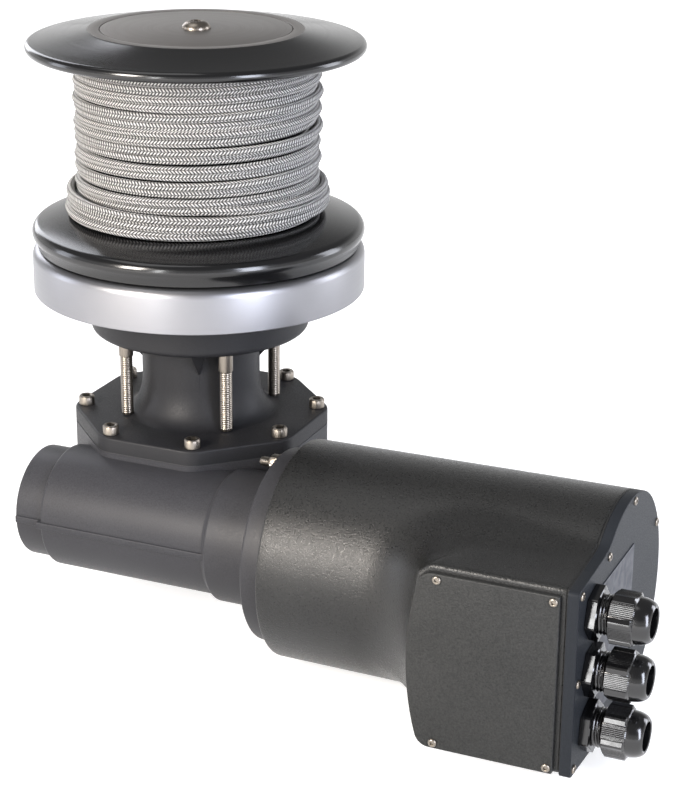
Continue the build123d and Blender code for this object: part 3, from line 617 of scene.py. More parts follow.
@dataclass(frozen=True)
class PowderCoat:
    """Coating on cast or rolled aluminium: sprayed, then stoved, so it has a fine even grain.

    Sizes are in millimetres and are those of the drawn grain.
    """

    name: str
    light: str
    dark: str
    roughness: float
    grain: float
    depth: float
    cloud: float = 45.0
    specular: float = 0.5
    fleck: float = 2.0
    gloss_spread: float = 0.1

    def material(self) -> bpy.types.Material:
        """Build the finish: clouds in the colour, grain in the surface and in the gloss."""
        made, tree, shader, place = blank(self.name, Specular_IOR_Level=self.specular)
        cloud = noise(tree, place, 1 / self.cloud, 3.0)
        grain = noise(tree, place, 1 / self.grain, 2.0, Roughness=0.6)
        base = remap(tree, cloud, (0.35, 0.65), (-0.6, -0.4))
        colour = mixed(tree, maths(tree, "MULTIPLY_ADD", grain, self.fleck, base), self.dark, self.light)
        spread = self.gloss_spread
        gloss = remap(tree, grain, (0.3, 0.7), (self.roughness - spread, self.roughness + spread))
        surface(tree, shader, grain, self.depth * MM, gloss, colour)
        return made


@dataclass(frozen=True)
class Anodised:
    """Turned aluminium, bead blasted and anodised: even satin with faint turning lines round Z."""

    name: str
    colour: str
    other: str
    roughness: float
    metallic: float
    line: float = 0.9
    depth: float = 0.004
    specular: float = 0.5
    blast_share: float = 0.5
    gloss_spread: float = 0.04

    def material(self) -> bpy.types.Material:
        """Build the finish: rings round the axis as tool marks, fine noise from blasting."""
        made, tree, shader, place = blank(self.name, Metallic=self.metallic, Specular_IOR_Level=self.specular)
        flat = add_node(tree, "ShaderNodeVectorMath", {"operation": "MULTIPLY", 1: (1, 1, 0)}, {0: place})
        radius = add_node(tree, "ShaderNodeVectorMath", {"operation": "LENGTH"}, {0: flat.outputs["Vector"]})
        parts = add_node(tree, "ShaderNodeSeparateXYZ", {}, {"Vector": place})
        ends = {"X": radius.outputs["Value"], "Y": parts.outputs["Z"]}
        spot = add_node(tree, "ShaderNodeCombineXYZ", {}, ends).outputs["Vector"]
        lines = noise(tree, spot, 1 / self.line, 3.0)
        blast = noise(tree, place, 2.2, 1.0)
        colour = mixed(tree, noise(tree, place, 0.03, 2.0), self.colour, self.other)
        marks = maths(tree, "MULTIPLY_ADD", blast, self.blast_share, lines)
        spread = self.gloss_spread
        gloss = remap(tree, marks, (0.4, 1.1), (self.roughness - spread, self.roughness + spread))
        surface(tree, shader, marks, self.depth * MM, gloss, colour)
        return made


@dataclass(frozen=True)
class BareMetal:
    """Machined or rolled metal without a coating: metal colour, soft scratches, slightly uneven gloss."""

    name: str
    colour: str
    roughness: float
    scratch: float = 1.2
    depth: float = 0.0008
    gloss_spread: float = 0.03

    def material(self) -> bpy.types.Material:
        """Build the finish: stretched noise as polishing marks in gloss and surface."""
        made, tree, shader, place = blank(self.name, Metallic=1.0, Base_Color=linear(self.colour))
        drawn_out = add_node(tree, "ShaderNodeMapping", {"Scale": (1.0, 1.0, 0.4)}, {"Vector": place})
        marks = noise(tree, drawn_out.outputs["Vector"], 1 / self.scratch, 4.0)
        spread = self.gloss_spread
        gloss = remap(tree, marks, (0.3, 0.7), (self.roughness - spread, self.roughness + spread))
        surface(tree, shader, marks, self.depth * MM, gloss)
        return made


@dataclass(frozen=True)
class Moulded:
    """Moulded nylon, rubber or film: one colour through and through, gloss from the mould."""

    name: str
    colour: str
    roughness: float
    grain: float = 3.0
    depth: float = 0.01
    specular: float = 0.5

    def material(self) -> bpy.types.Material:
        """Build the finish: slow waviness of the mould and a little unevenness in the gloss."""
        made, tree, shader, place = blank(
            self.name, Base_Color=linear(self.colour), Specular_IOR_Level=self.specular,
        )
        waves = noise(tree, place, 1 / self.grain, 2.0)
        gloss = remap(tree, waves, (0.3, 0.7), (self.roughness * 0.8, self.roughness * 1.2))
        surface(tree, shader, waves, self.depth * MM, gloss)
        return made


@dataclass(frozen=True)
class Braid:
    """Plaited polyester cover of a rope: two sets of strands that cross over and under each other.

    The pattern lies on the rope's own map: along it in U, round it in V. The strands are
    drawn a little coarser than they are, so that they show. The low places between and under
    the strands take a dark colour, as painted shade.
    """

    name: str
    bright: str
    mid: str
    gap_shade: str
    length: float
    step: float = 2.1 * MM
    columns: float = 6.0
    twists: float = 9.0
    depth: float = 1.0 * MM
    mid_place: float = 0.45

    def material(self) -> bpy.types.Material:
        """Build the plait: slanted dashes in columns that lean left and right in turn."""
        made, tree, shader, place = blank(self.name, Roughness=0.5, Sheen_Weight=0.1, Specular_IOR_Level=0.5)
        uv = add_node(tree, "ShaderNodeUVMap", {"uv_map": "UVMap"}).outputs["UV"]
        parts = add_node(tree, "ShaderNodeSeparateXYZ", {}, {"Vector": uv})
        along = maths(tree, "MULTIPLY", parts.outputs["X"], self.length / self.step)
        twisted = maths(tree, "MULTIPLY_ADD", parts.outputs["X"], self.twists, parts.outputs["Y"])
        column = maths(tree, "MULTIPLY", twisted, self.columns)
        slanted = maths(tree, "ADD", maths(tree, "PINGPONG", column, 1.0), along)
        crest = remap(tree, maths(tree, "PINGPONG", slanted, 0.5), (0.05, 0.42), soft=True)
        tuck = remap(tree, maths(tree, "PINGPONG", column, 0.5), (0.0, 0.3), (0.35, 1.0), soft=True)
        height = maths(tree, "MULTIPLY", crest, tuck)
        uneven = maths(tree, "MULTIPLY_ADD", noise(tree, place, 1.1, 2.0), 0.7, -0.34)
        share = maths(tree, "ADD", height, uneven, clamp=True)
        # Low places of the relief, in the gaps and where strands tuck under, are coloured dark as painted shade.
        ramp = add_node(tree, "ShaderNodeValToRGB", {}, {"Fac": share})
        stops = ramp.color_ramp.elements
        stops[0].color = linear(self.gap_shade)
        stops[1].color = linear(self.bright)
        stops.new(self.mid_place).color = linear(self.mid)
        surface(tree, shader, height, self.depth, colour=ramp.outputs["Color"])
        return made


Finish = PowderCoat | Anodised | BareMetal | Moulded | Braid

# Satin silver anodising of the deck ring.
RING_FINISH = Anodised("satin_silver_anodising", "#8f8f93", "#868689", 0.37, 1.0)
# Black anodising of the drum's flanges and barrel, satin from the bead blasting, with a clear seal.
DRUM_FINISH = Anodised("black_anodising", "#0e0e0f", "#121213", 0.17, 0.0, depth=0.0015, specular=0.55)
# Grey-brown anodised disc in the drum's top.
CAP_FINISH = Anodised("grey_anodising", "#75716e", "#7d7976", 0.4, 0.75)
# Matte dark grey coating of the gear case, neck and flange.
CASTING_FINISH = PowderCoat("dark_grey_casting_coat", "#3b3b3e", "#2d2d30", 0.46, 0.9, 0.05, specular=0.22)
# The same coating on the neck, painted darker than the gear case as painted shade under the ring and drum.
NECK_SHADE_FINISH = PowderCoat("neck_coat_painted_shade", "#262628", "#1d1d1f", 0.5, 0.9, 0.05, specular=0.22)
# Black textured coating of the motor cover; its grain is drawn coarser than it is, so that it shows.
COVER_FINISH = PowderCoat("black_textured_coat", "#272726", "#131313", 0.34, 1.0, 0.27, specular=0.38)
# Pebbled coating of the control box's cover plate.
LID_FINISH = PowderCoat("pebbled_coat", "#313130", "#161716", 0.48, 1.1, 0.3, specular=0.28)
# Smooth blue-grey coating of the end plate.
PLATE_FINISH = PowderCoat("blue_grey_plate_coat", "#26282c", "#1f2225", 0.48, 0.8, 0.02, specular=0.12)
# Bright stainless steel of screws and studs.
STAINLESS_FINISH = BareMetal("stainless_steel", "#857e75", 0.33)
# Black polyamide of the cable glands, glossy from the mould.
NYLON_FINISH = Moulded("black_polyamide", "#0c0c0d", 0.16, grain=4.0, depth=0.012, specular=0.7)
# Black rubber of gaskets and seals.
RUBBER_FINISH = Moulded("black_rubber", "#151515", 0.6, grain=1.2, depth=0.02)
# Grey fibre gasket under the neck's plate, near the coating's own colour.
GASKET_FINISH = Moulded("grey_fibre_gasket", "#2f2f31", 0.6, grain=0.8, depth=0.01)
# Blank grey film of the label.
LABEL_FINISH = Moulded("grey_label_film", "#3b3d43", 0.42, grain=6.0, depth=0.004, specular=0.2)

# Finishes of the parts inside, by the record's slot: ground steel, bronze, copper, ferrite, zinc, carbon, plastic.
INNER_FINISHES: dict[str, Finish] = {
    "shaft_steel": BareMetal("ground_steel", "#8f9194", 0.3, 0.8),
    "bronze": BareMetal("machined_bronze", "#a8834a", 0.34, 0.9),
    "copper": BareMetal("copper_bars", "#b87650", 0.36, 0.7),
    "magnet_ferrite": Moulded("sintered_ferrite", "#2c2c2e", 0.55, grain=0.8, depth=0.02),
    "motor_steel": PowderCoat("zinc_primer", "#5d5f61", "#535557", 0.5, 1.2, 0.03),
    "carbon": Moulded("brush_carbon", "#1f1f1f", 0.5, grain=0.7, depth=0.015),
    "relay_plastic": Moulded("insulating_plastic", "#38383a", 0.42, grain=1.0, depth=0.02),
}


# Each slot's own finish.
SLOT_FINISHES: dict[str, Finish] = {
    Slot.RING.value: RING_FINISH,
    Slot.CASTING.value: CASTING_FINISH,
    Slot.COVER.value: COVER_FINISH,
    Slot.PLATE.value: PLATE_FINISH,
    Slot.DRUM.value: DRUM_FINISH,
    Slot.CAP.value: CAP_FINISH,
    Slot.STAINLESS.value: STAINLESS_FINISH,
    Slot.NYLON.value: NYLON_FINISH,
    Slot.RUBBER.value: RUBBER_FINISH,
    Slot.LABEL.value: LABEL_FINISH,
    **INNER_FINISHES,
}


class Paintshop:
    """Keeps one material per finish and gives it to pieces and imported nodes."""

    def __init__(self) -> None:
        """Start with no material made."""
        self.made: dict[str, bpy.types.Material] = {}

    def coat(self, piece: Piece, finish: Finish) -> None:
        """Give a piece its finish over its whole surface.

        Args:
            piece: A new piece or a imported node.
            finish: The finish to give it.
        """
        if finish.name not in self.made:
            self.made[finish.name] = finish.material()
        piece.data.materials.clear()
        piece.data.materials.append(self.made[finish.name])

    def fit(self, piece: Piece, body: Body, slot: Slot, *stands_for: str, finish: Finish | None = None) -> Piece:
        """Finish a new piece and put it on its body.

        Args:
            piece: The new piece.
            body: The body it moves with.
            slot: The record's slot it takes its finish from.
            stands_for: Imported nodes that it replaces.
            finish: The finish it shows, where that isn't the slot's own.

        Returns:
            The piece.
        """
        self.coat(piece, finish or SLOT_FINISHES[slot.value])
        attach(piece, body.value)
        if stands_for:
            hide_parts(*stands_for)
        LOG.info("%s: %d faces on %s", piece.name, len(piece.data.polygons), body.value)
        return piece


# ------------------------------------------------------------------ rope
Waves = tuple[tuple[float, float, float], ...]


def summed(terms: Waves, turn: float) -> float:
    """Sum of sines over the rope's turns, each given as height, waves in a turn and phase."""
    return sum(height * math.sin(math.tau * turn * often + phase) for height, often, phase in terms)


@dataclass
class Rope:
    """The rope wound on the drum: one layer from the top down, then three turns over the lowest ones.

    Its twelve-sided section is drawn a little larger, so that its mean width is the rope's.
    """

    diameter: float = 5.2 * MM
    layer_r: float = 73.3 * MM
    second_r: float = 80.2 * MM
    turns: float = 18.4
    second_turns: float = 2.9
    points_per_turn: int = 24
    back: float = math.radians(112)
    clear: float = 0.35 * MM
    section: float = 1.06
    hop: float = 1.05
    sway: float = 0.34
    hops: Waves = ((1.0, 0.5, 0.6), (0.6, 1.44, 1.3), (0.5, 0.27, 0.0))
    sways: Waves = ((0.9, 0.52, 0.9), (0.7, 1.37, 2.1), (0.5, 0.83, 0.0))

    def route(self) -> list[Vector]:
        """Control points of the rope's line, from its hole in the barrel to where its end is tucked in."""
        low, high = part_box("rope_coil")
        top = high.z - self.diameter / 2 - self.clear
        foot = low.z + self.diameter / 2 + self.clear
        pitch = (top - foot) / self.turns
        spots: list[Vector] = []
        total = self.turns + 0.25 + self.second_turns
        for index in range(int(total * self.points_per_turn) + 1):
            turn = index / self.points_per_turn
            angle = self.back - math.tau * turn
            ease = min(1.0, max(0.0, (turn - self.turns) / 0.25))
            ease = ease * ease * (3 - 2 * ease)
            climb = max(0.0, turn - self.turns - 0.1)
            height = top - pitch * min(turn, self.turns) + climb * self.diameter * 1.02
            sway = summed(self.sways, turn)
            hop = summed(self.hops, turn)
            middle = min(1.0, turn, max(0.0, self.turns - turn)) if turn < self.turns else 0.0
            late = math.sin(math.tau * turn * 0.5) * 0.6 * MM * ease
            radius = self.layer_r + late + ease * (self.second_r - self.layer_r - climb * 0.5 * MM)
            radius += (0.3 + self.hop * hop * middle) * MM
            height += self.sway * sway * middle * MM
            radius -= 9.0 * MM * max(0.0, 1 - turn / 0.12) ** 2
            radius -= (self.second_r - self.layer_r + 4.5 * MM) * max(0.0, 1 - (total - turn) / 0.16) ** 2
            spots.append(Vector((radius * math.cos(angle), radius * math.sin(angle), height)))
        bow = 8 / (6 + 2 * math.cos(math.tau / self.points_per_turn))
        return [Vector((spot.x * bow, spot.y * bow, spot.z)) for spot in spots]

    def build(self, shop: Paintshop) -> Piece:
        route = self.route()
        curve = bpy.data.curves.new("rope_line", "CURVE")
        curve.dimensions = "3D"
        curve.resolution_u = 4
        curve.twist_mode = "Z_UP"
        spline = curve.splines.new("NURBS")
        spline.points.add(len(route) - 1)
        for point, spot in zip(spline.points, route):
            point.co = (*spot, 1.0)
        spline.order_u = 3
        spline.use_endpoint_u = True
        piece = bpy.data.objects.new("rope", curve)
        bpy.context.scene.collection.objects.link(piece)
        bpy.context.view_layer.update()
        line = bpy.data.meshes.new_from_object(piece.evaluated_get(bpy.context.evaluated_depsgraph_get()))
        path = [tuple(vertex.co) for vertex in line.vertices]
        bpy.data.meshes.remove(line)
        length = sum((Vector(b) - Vector(a)).length for a, b in zip(path, path[1:]))
        curve.bevel_depth = self.diameter / 2 * self.section
        curve.bevel_resolution = 2
        curve.use_fill_caps = True
        take(piece)
        bpy.ops.object.convert(target="MESH")
        piece = bpy.context.object
        smooth(piece, 60)
        # The third colour is the painted shade in the gaps between the strands.
        braid = Braid("braided_polyester", "#e6e4e1", "#8c8a87", "#222120", length)
        shop.fit(piece, Body.DRUM, Slot.ROPE, "rope_coil", finish=braid)
        LOG.info("rope length %.2f m", length)
        return piece


# ------------------------------------------------------------------ drum and deck ring
@dataclass
class Drum:
    """Rope drum: lower flange with its bullnose rim, upper flange with its shallow cone, cap and screw."""

    rim_r: float = 104.8 * MM
    rim_round: float = 5.7 * MM
    rim_mid: float = 38.0 * MM
    skirt_r: float = 101.5 * MM
    skirt_h: float = 3.5 * MM
    flat_r: float = 80.0 * MM
    hub_r: float = 30.0 * MM
    bore_r: float = 12.6 * MM
    top_round: float = 3.4 * MM
    land_r: float = 67.6 * MM
    cap_gap: float = 0.4 * MM
    cap_edge: float = 0.5 * MM
    socket_af: float = 6.0 * MM

    def bullnose(self, centre_r: float, centre_z: float, radius: float, begin: float, upto: float) -> list[Spot]:
        """Points of a rim's rounding between two angles in degrees, counted up from level."""
        return [
            (centre_r + radius * math.cos(math.radians(a)), centre_z + radius * math.sin(math.radians(a)))
            for a in [begin + (upto - begin) * step / 18 for step in range(19)]
        ]

    def build(self, shop: Paintshop) -> None:
        """Turn the flanges, the cap and its button screw."""
        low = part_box("drum_lower_flange")[0]
        barrel_low, barrel_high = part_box("drum_barrel")
        skirt_z = low.z + 12.5 * MM
        foot = barrel_low.z
        lower = turned("lower_flange", [
            (self.bore_r, low.z), (self.hub_r, low.z), (self.hub_r, skirt_z), (self.skirt_r - 0.4 * MM, skirt_z),
            (self.skirt_r, skirt_z + 0.4 * MM), (self.skirt_r + 0.5 * MM, skirt_z + self.skirt_h),
            *self.bullnose(self.rim_r - self.rim_round, self.rim_mid, self.rim_round, -32, 80),
            (self.flat_r + 2 * MM, foot - 0.15 * MM), (self.flat_r - 2 * MM, foot),
            (self.bore_r, foot), (self.bore_r, low.z),
        ], 192)
        shop.fit(lower, Body.DRUM, Slot.DRUM, "drum_lower_flange")
        cap_low, cap_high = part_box("top_cap")
        under = barrel_high.z
        top = turned("upper_flange", [
            (self.bore_r, under), (self.rim_r - self.top_round, under),
            *self.bullnose(self.rim_r - self.top_round, under + self.top_round, self.top_round, -90, 80)[1:],
            (self.land_r, cap_high.z - 0.4 * MM), (self.land_r - 0.8 * MM, cap_high.z),
            (cap_high.x + self.cap_gap + 0.2 * MM, cap_high.z), (cap_high.x + self.cap_gap, cap_high.z - 0.2 * MM),
            (cap_high.x + self.cap_gap, cap_low.z), (self.bore_r, cap_low.z), (self.bore_r, under),
        ], 192)
        shop.fit(top, Body.DRUM, Slot.DRUM, "drum_top_flange")
        cap = turned("cap_disc", [
            (0, cap_low.z), (cap_high.x, cap_low.z), (cap_high.x, cap_high.z - self.cap_edge),
            (cap_high.x - self.cap_edge * 0.4, cap_high.z - self.cap_edge * 0.2),
            (cap_high.x - self.cap_edge, cap_high.z), (0, cap_high.z),
        ], 160)
        inner = cap_high.x + self.cap_gap
        land = turned("cap_land", rounded([
            (inner, cap_high.z - 1 * MM, 0), (self.land_r - 1.2 * MM, cap_high.z - 1 * MM, 0),
            (self.land_r - 0.9 * MM, cap_high.z + 0.01 * MM, 0.2 * MM), (inner, cap_high.z + 0.01 * MM, 0.2 * MM),
        ], 3) + [(inner, cap_high.z - 1 * MM)], 160)
        shop.fit(land, Body.DRUM, Slot.CAP, "drum_top_flange")
        shop.fit(cap, Body.DRUM, Slot.CAP, "top_cap")
        _, screw_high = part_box("centre_screw")
        head_r, head_h = screw_high.x, screw_high.z - cap_high.z
        socket = hexagonal(self.socket_af)
        screw = shaped("cap_screw", [
            (head_r, 0), (head_r, 0.8 * MM), (head_r * 0.93, head_h * 0.45), (head_r * 0.78, head_h * 0.76),
            (head_r * 0.6, head_h * 0.93), (head_r * 0.46, head_h), (self.socket_af * 0.58, head_h * 0.99),
            (socket, head_h * 0.93), (socket, head_h - 3 * MM),
        ])
        raised(screw, cap_high.z)
        shop.fit(screw, Body.DRUM, Slot.STAINLESS, "centre_screw")


@dataclass
class DeckRing:
    """Silver ring that stands on the deck under the drum."""

    shoulder: float = 6.0 * MM
    wall: float = 13.0 * MM
    web_top: float = 14.0 * MM
    recess_r: float = 72.0 * MM
    recess_h: float = 2.0 * MM
    bore_r: float = 16.0 * MM

    def build(self, shop: Paintshop) -> None:
        """Turn the ring with its soft shoulder and the recess below."""
        low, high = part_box("base_ring")
        profile = rounded([
            (self.recess_r, low.z, 0), (high.x, low.z, 0.8 * MM), (high.x, high.z, self.shoulder),
            (high.x - self.wall, high.z, 0.6 * MM), (high.x - self.wall, self.web_top, 1.0 * MM),
            (self.bore_r, self.web_top, 0), (self.bore_r, self.recess_h, 0), (self.recess_r, self.recess_h, 0),
        ], 8)
        ring = turned("deck_ring", [*profile, profile[0]], 192)
        shop.fit(ring, Body.HOUSING, Slot.RING, "base_ring")


# ------------------------------------------------------------------ fasteners
@dataclass
class Fasteners:
    """Screws and studs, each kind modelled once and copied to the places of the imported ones."""

    cap_af: float = 5.0 * MM
    cap_head_h: float = 6.0 * MM
    stud_pitch: float = 1.25 * MM
    stud_thread: float = 0.36 * MM
    collar_end: float = -42.7 * MM
    pan_af: float = 2.2 * MM
    bond_longer: float = 3.0 * MM
    stud_r: float = 4.0 * MM
    head_turn: float = 0.7

    def cap_head(self, radius: float) -> Piece:
        """Knurled cylinder head with a hexagon socket, its seat on Z = 0."""
        socket = hexagonal(self.cap_af)
        tall = self.cap_head_h

        def knurl(angle: float) -> float:
            """Radius of the straight knurling."""
            return radius - 0.08 * MM * (math.cos(angle * 36) > 0)

        return shaped("cap_head", [
            (radius - 0.4 * MM, 0), (knurl, 0.4 * MM), (knurl, tall - 0.9 * MM), (radius - 0.15 * MM, tall - 0.7 * MM),
            (radius - 0.7 * MM, tall), (radius * 0.64, tall), (socket, tall - 0.35 * MM), (socket, tall * 0.45),
        ], 144)

    def pan_head(self, radius: float, tall: float) -> Piece:
        """Low rounded head with a small socket, its seat on Z = 0."""
        socket = hexagonal(self.pan_af)
        return shaped("pan_head", [
            (radius, 0), (radius, tall * 0.35), (radius * 0.9, tall * 0.75), (radius * 0.7, tall),
            (self.pan_af * 0.62, tall), (socket, tall * 0.9), (socket, tall * 0.2),
        ], 48)

    def stud(self, radius: float, collar: float, low: float, high: float) -> Piece:
        """Deck stud along Z: threaded below, plain collar above.

        Args:
            radius: Radius of the thread.
            collar: Radius of the plain part.
            low: Height of the tip.
            high: Height of the upper end.

        Returns:
            The stud on the Z axis.
        """
        length = self.collar_end - low + 1 * MM
        screw = raised(thread("stud_thread", radius, self.stud_pitch, length, self.stud_thread, 24), low)
        shank = turned("stud_shank", rounded([
            (0, self.collar_end, 0), (collar, self.collar_end, 0.5 * MM), (collar, high, 0.3 * MM), (0, high, 0),
        ], 3, closed=False), 40)
        return joined([screw, shank], "stud")

    def spread(
        self, shop: Paintshop, pattern: Piece, name: str, node: str, place: Callable[[int, Vector, Vector], Matrix],
    ) -> None:
        """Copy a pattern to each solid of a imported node, and let the copies replace it.

        Args:
            shop: The paint shop.
            pattern: The piece to copy.
            name: Name of one copy.
            node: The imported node.
            place: Takes a solid's number and its box's two corners, and gives the copy's place.
        """
        copies = [copied(pattern, f"{name}_{i}", place(i, a, b)) for i, (a, b) in enumerate(solids_of(node))]
        shop.fit(joined(copies, name + "s"), Body.HOUSING, Slot.STAINLESS, node)

    def build(self, shop: Paintshop) -> None:
        """Copy heads and studs to their places."""
        low, high = solids_of("housing_screws")[0]
        head = self.cap_head((high.x - low.x) / 2)

        def on_case(i: int, a: Vector, b: Vector) -> Matrix:
            """Place of a head on the case, each turned a little further."""
            seat = Vector(((a.x + b.x) / 2, (a.y + b.y) / 2, b.z - self.cap_head_h))
            return Matrix.Translation(seat) @ Matrix.Rotation(self.head_turn * i, 4, "Z")

        self.spread(shop, head, "case_screw", "housing_screws", on_case)
        discard(head)
        low, high = solids_of("mounting_studs")[0]
        stud = self.stud(self.stud_r, (high.x - low.x) / 2, low.z, high.z)
        self.spread(shop, stud, "deck_stud", "mounting_studs", lambda _, a, b: Matrix.Translation(
            ((a.x + b.x) / 2, (a.y + b.y) / 2, 0),
        ))
        discard(stud)
        self.small_screws(shop)
        self.bonding(shop)

    def small_screws(self, shop: Paintshop) -> None:
        """Pan heads on the end plate and on the box's cover plate."""
        plate_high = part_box("end_plate")[1]
        low, high = solids_of("end_plate_screws")[0]
        head = self.pan_head((high.y - low.y) / 2, high.x - plate_high.x)
        self.spread(
            shop, head, "plate_screw", "end_plate_screws", lambda _, a, b: on_end_plate(plate_high.x, a, b),
        )
        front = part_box("box_cover_plate")[0].y
        self.spread(shop, head, "lid_screw", "box_cover_screws", lambda _, a, b: out_of_front(
            (a.x + b.x) / 2, front, (a.z + b.z) / 2,
        ))
        discard(head)

    def bonding(self, shop: Paintshop) -> None:
        """Bonding stud with its nut and washer on the motor flange."""
        low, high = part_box("bonding_stud")
        flange_low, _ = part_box("motor_flange")
        start = low.x - self.bond_longer
        face = flange_low.x - start
        stud = thread("bond_thread", 3.0 * MM, 1.0 * MM, face + 2 * MM, 0.5 * MM)
        nut_w = 5.0 * MM
        seat = face - 1.4 * MM
        flats = hexagonal(10 * MM, 5.6 * MM)
        nut = shaped("bond_nut", [
            (3.1 * MM, seat - nut_w), (4.9 * MM, seat - nut_w), (flats, seat - nut_w + 0.6 * MM),
            (flats, seat - 0.5 * MM), (4.9 * MM, seat), (3.1 * MM, seat),
        ], 72)
        washer = turned("bond_washer", rounded([
            (3.1 * MM, seat, 0), (6 * MM, seat, 0.3 * MM), (6 * MM, face, 0), (3.1 * MM, face, 0),
        ], 2) + [(3.1 * MM, seat)], 48)
        piece = joined([stud, nut, washer], "bonding_stud_set")
        shop.fit(put(piece, on_end_plate(start, low, high)), Body.HOUSING, Slot.STAINLESS, "bonding_stud")


# ------------------------------------------------------------------ castings
@dataclass
class Neck:
    """Upper cover of the gear case: dish under the ring, waisted column, octagonal plate."""

    dish_r: float = 69.6 * MM
    dish_under: float = -27.3 * MM
    dish_round: float = 4.0 * MM
    column_r: float = 37.8 * MM
    flare: float = 12.5 * MM
    flare_h: float = 24.0 * MM
    bore_r: float = 27.0 * MM
    plate_r: float = 83.6 * MM
    plate_z: float = -83.0 * MM
    plate_h: float = 9.5 * MM
    corner: float = 18.0 * MM
    edge: float = 1.4 * MM
    web_start: float = -65.0

    def rib(self, name: str) -> Piece:
        """Small gusset under the dish, pointing along +X and tapering down to nothing."""
        loops = []
        for reach, half, z in ((15.0, 6.2, 1.0), (14.0, 6.0, -1.5), (3.0, 1.4, -18.0), (-1.5, 0.3, -23.0)):
            out = self.column_r + reach * MM
            inner = self.column_r - 3 * MM
            section = ridge_section((inner, half * MM), (out, half * MM), 1.2 * MM, 4)
            loops.append([(u, v, self.dish_under + z * MM) for u, v in section])
        return drawn(name, loops)

    def parting(self, name: str) -> Piece:
        """Fine parting line of the mould down the column, along +X."""
        loops = []
        for z in (self.dish_under - 6 * MM, self.plate_z + self.flare):
            out = self.column_r + 0.12 * MM
            section = ridge_section((self.column_r - 1 * MM, 0.5 * MM), (out, 0.35 * MM), 0.2 * MM, 2)
            loops.append([(u, v, z) for u, v in section])
        return drawn(name, loops)

    def build(self, shop: Paintshop) -> None:
        """Turn the column, extrude the plate and add the webs."""
        _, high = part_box("neck_casting")
        profile = rounded([
            (self.bore_r, high.z, 0), (self.dish_r, high.z, 0), (self.dish_r, self.dish_under, self.dish_round),
            (self.column_r, self.dish_under, 9 * MM), (self.column_r, self.plate_z + self.flare_h, 0),
            *[
                (self.column_r + self.flare * (1 - math.cos(a)), self.plate_z + self.flare_h * (1 - math.sin(a)), 0)
                for a in map(math.radians, range(9, 90, 9))
            ],
            (self.column_r + self.flare + 0.2 * MM, self.plate_z - 0.02 * MM, 0),
            (self.column_r + self.flare, self.plate_z - 2 * MM, 0), (self.bore_r, self.plate_z - 2 * MM, 0),
        ], 10)
        parts = [turned("neck", [*profile, profile[0]], 160)]
        outline = octagon(self.plate_r, self.corner)
        slab = plate("neck_plate", outline, self.plate_h, self.edge, 4)
        parts.append(raised(slab, self.plate_z - self.plate_h))
        under, over = (corner.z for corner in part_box("housing_gasket"))
        inner = [(u * 0.995, v * 0.995) for u, v in outline]
        gasket = raised(plate("neck_gasket", inner, over - under, 0.1 * MM, 1), under)
        shop.fit(gasket, Body.HOUSING, Slot.RUBBER, "housing_gasket", finish=GASKET_FINISH)
        for pattern in (self.rib("web"), self.parting("seam")):
            for i in range(4):
                turn = Matrix.Rotation(math.radians(90 * i + self.web_start), 4, "Z")
                parts.append(copied(pattern, f"{pattern.name}_{i}", turn))
            discard(pattern)
        # The neck's finish is painted darker, as painted shade under the ring and drum.
        shop.fit(joined(parts, "neck_cover"), Body.HOUSING, Slot.CASTING, "neck_casting", finish=NECK_SHADE_FINISH)


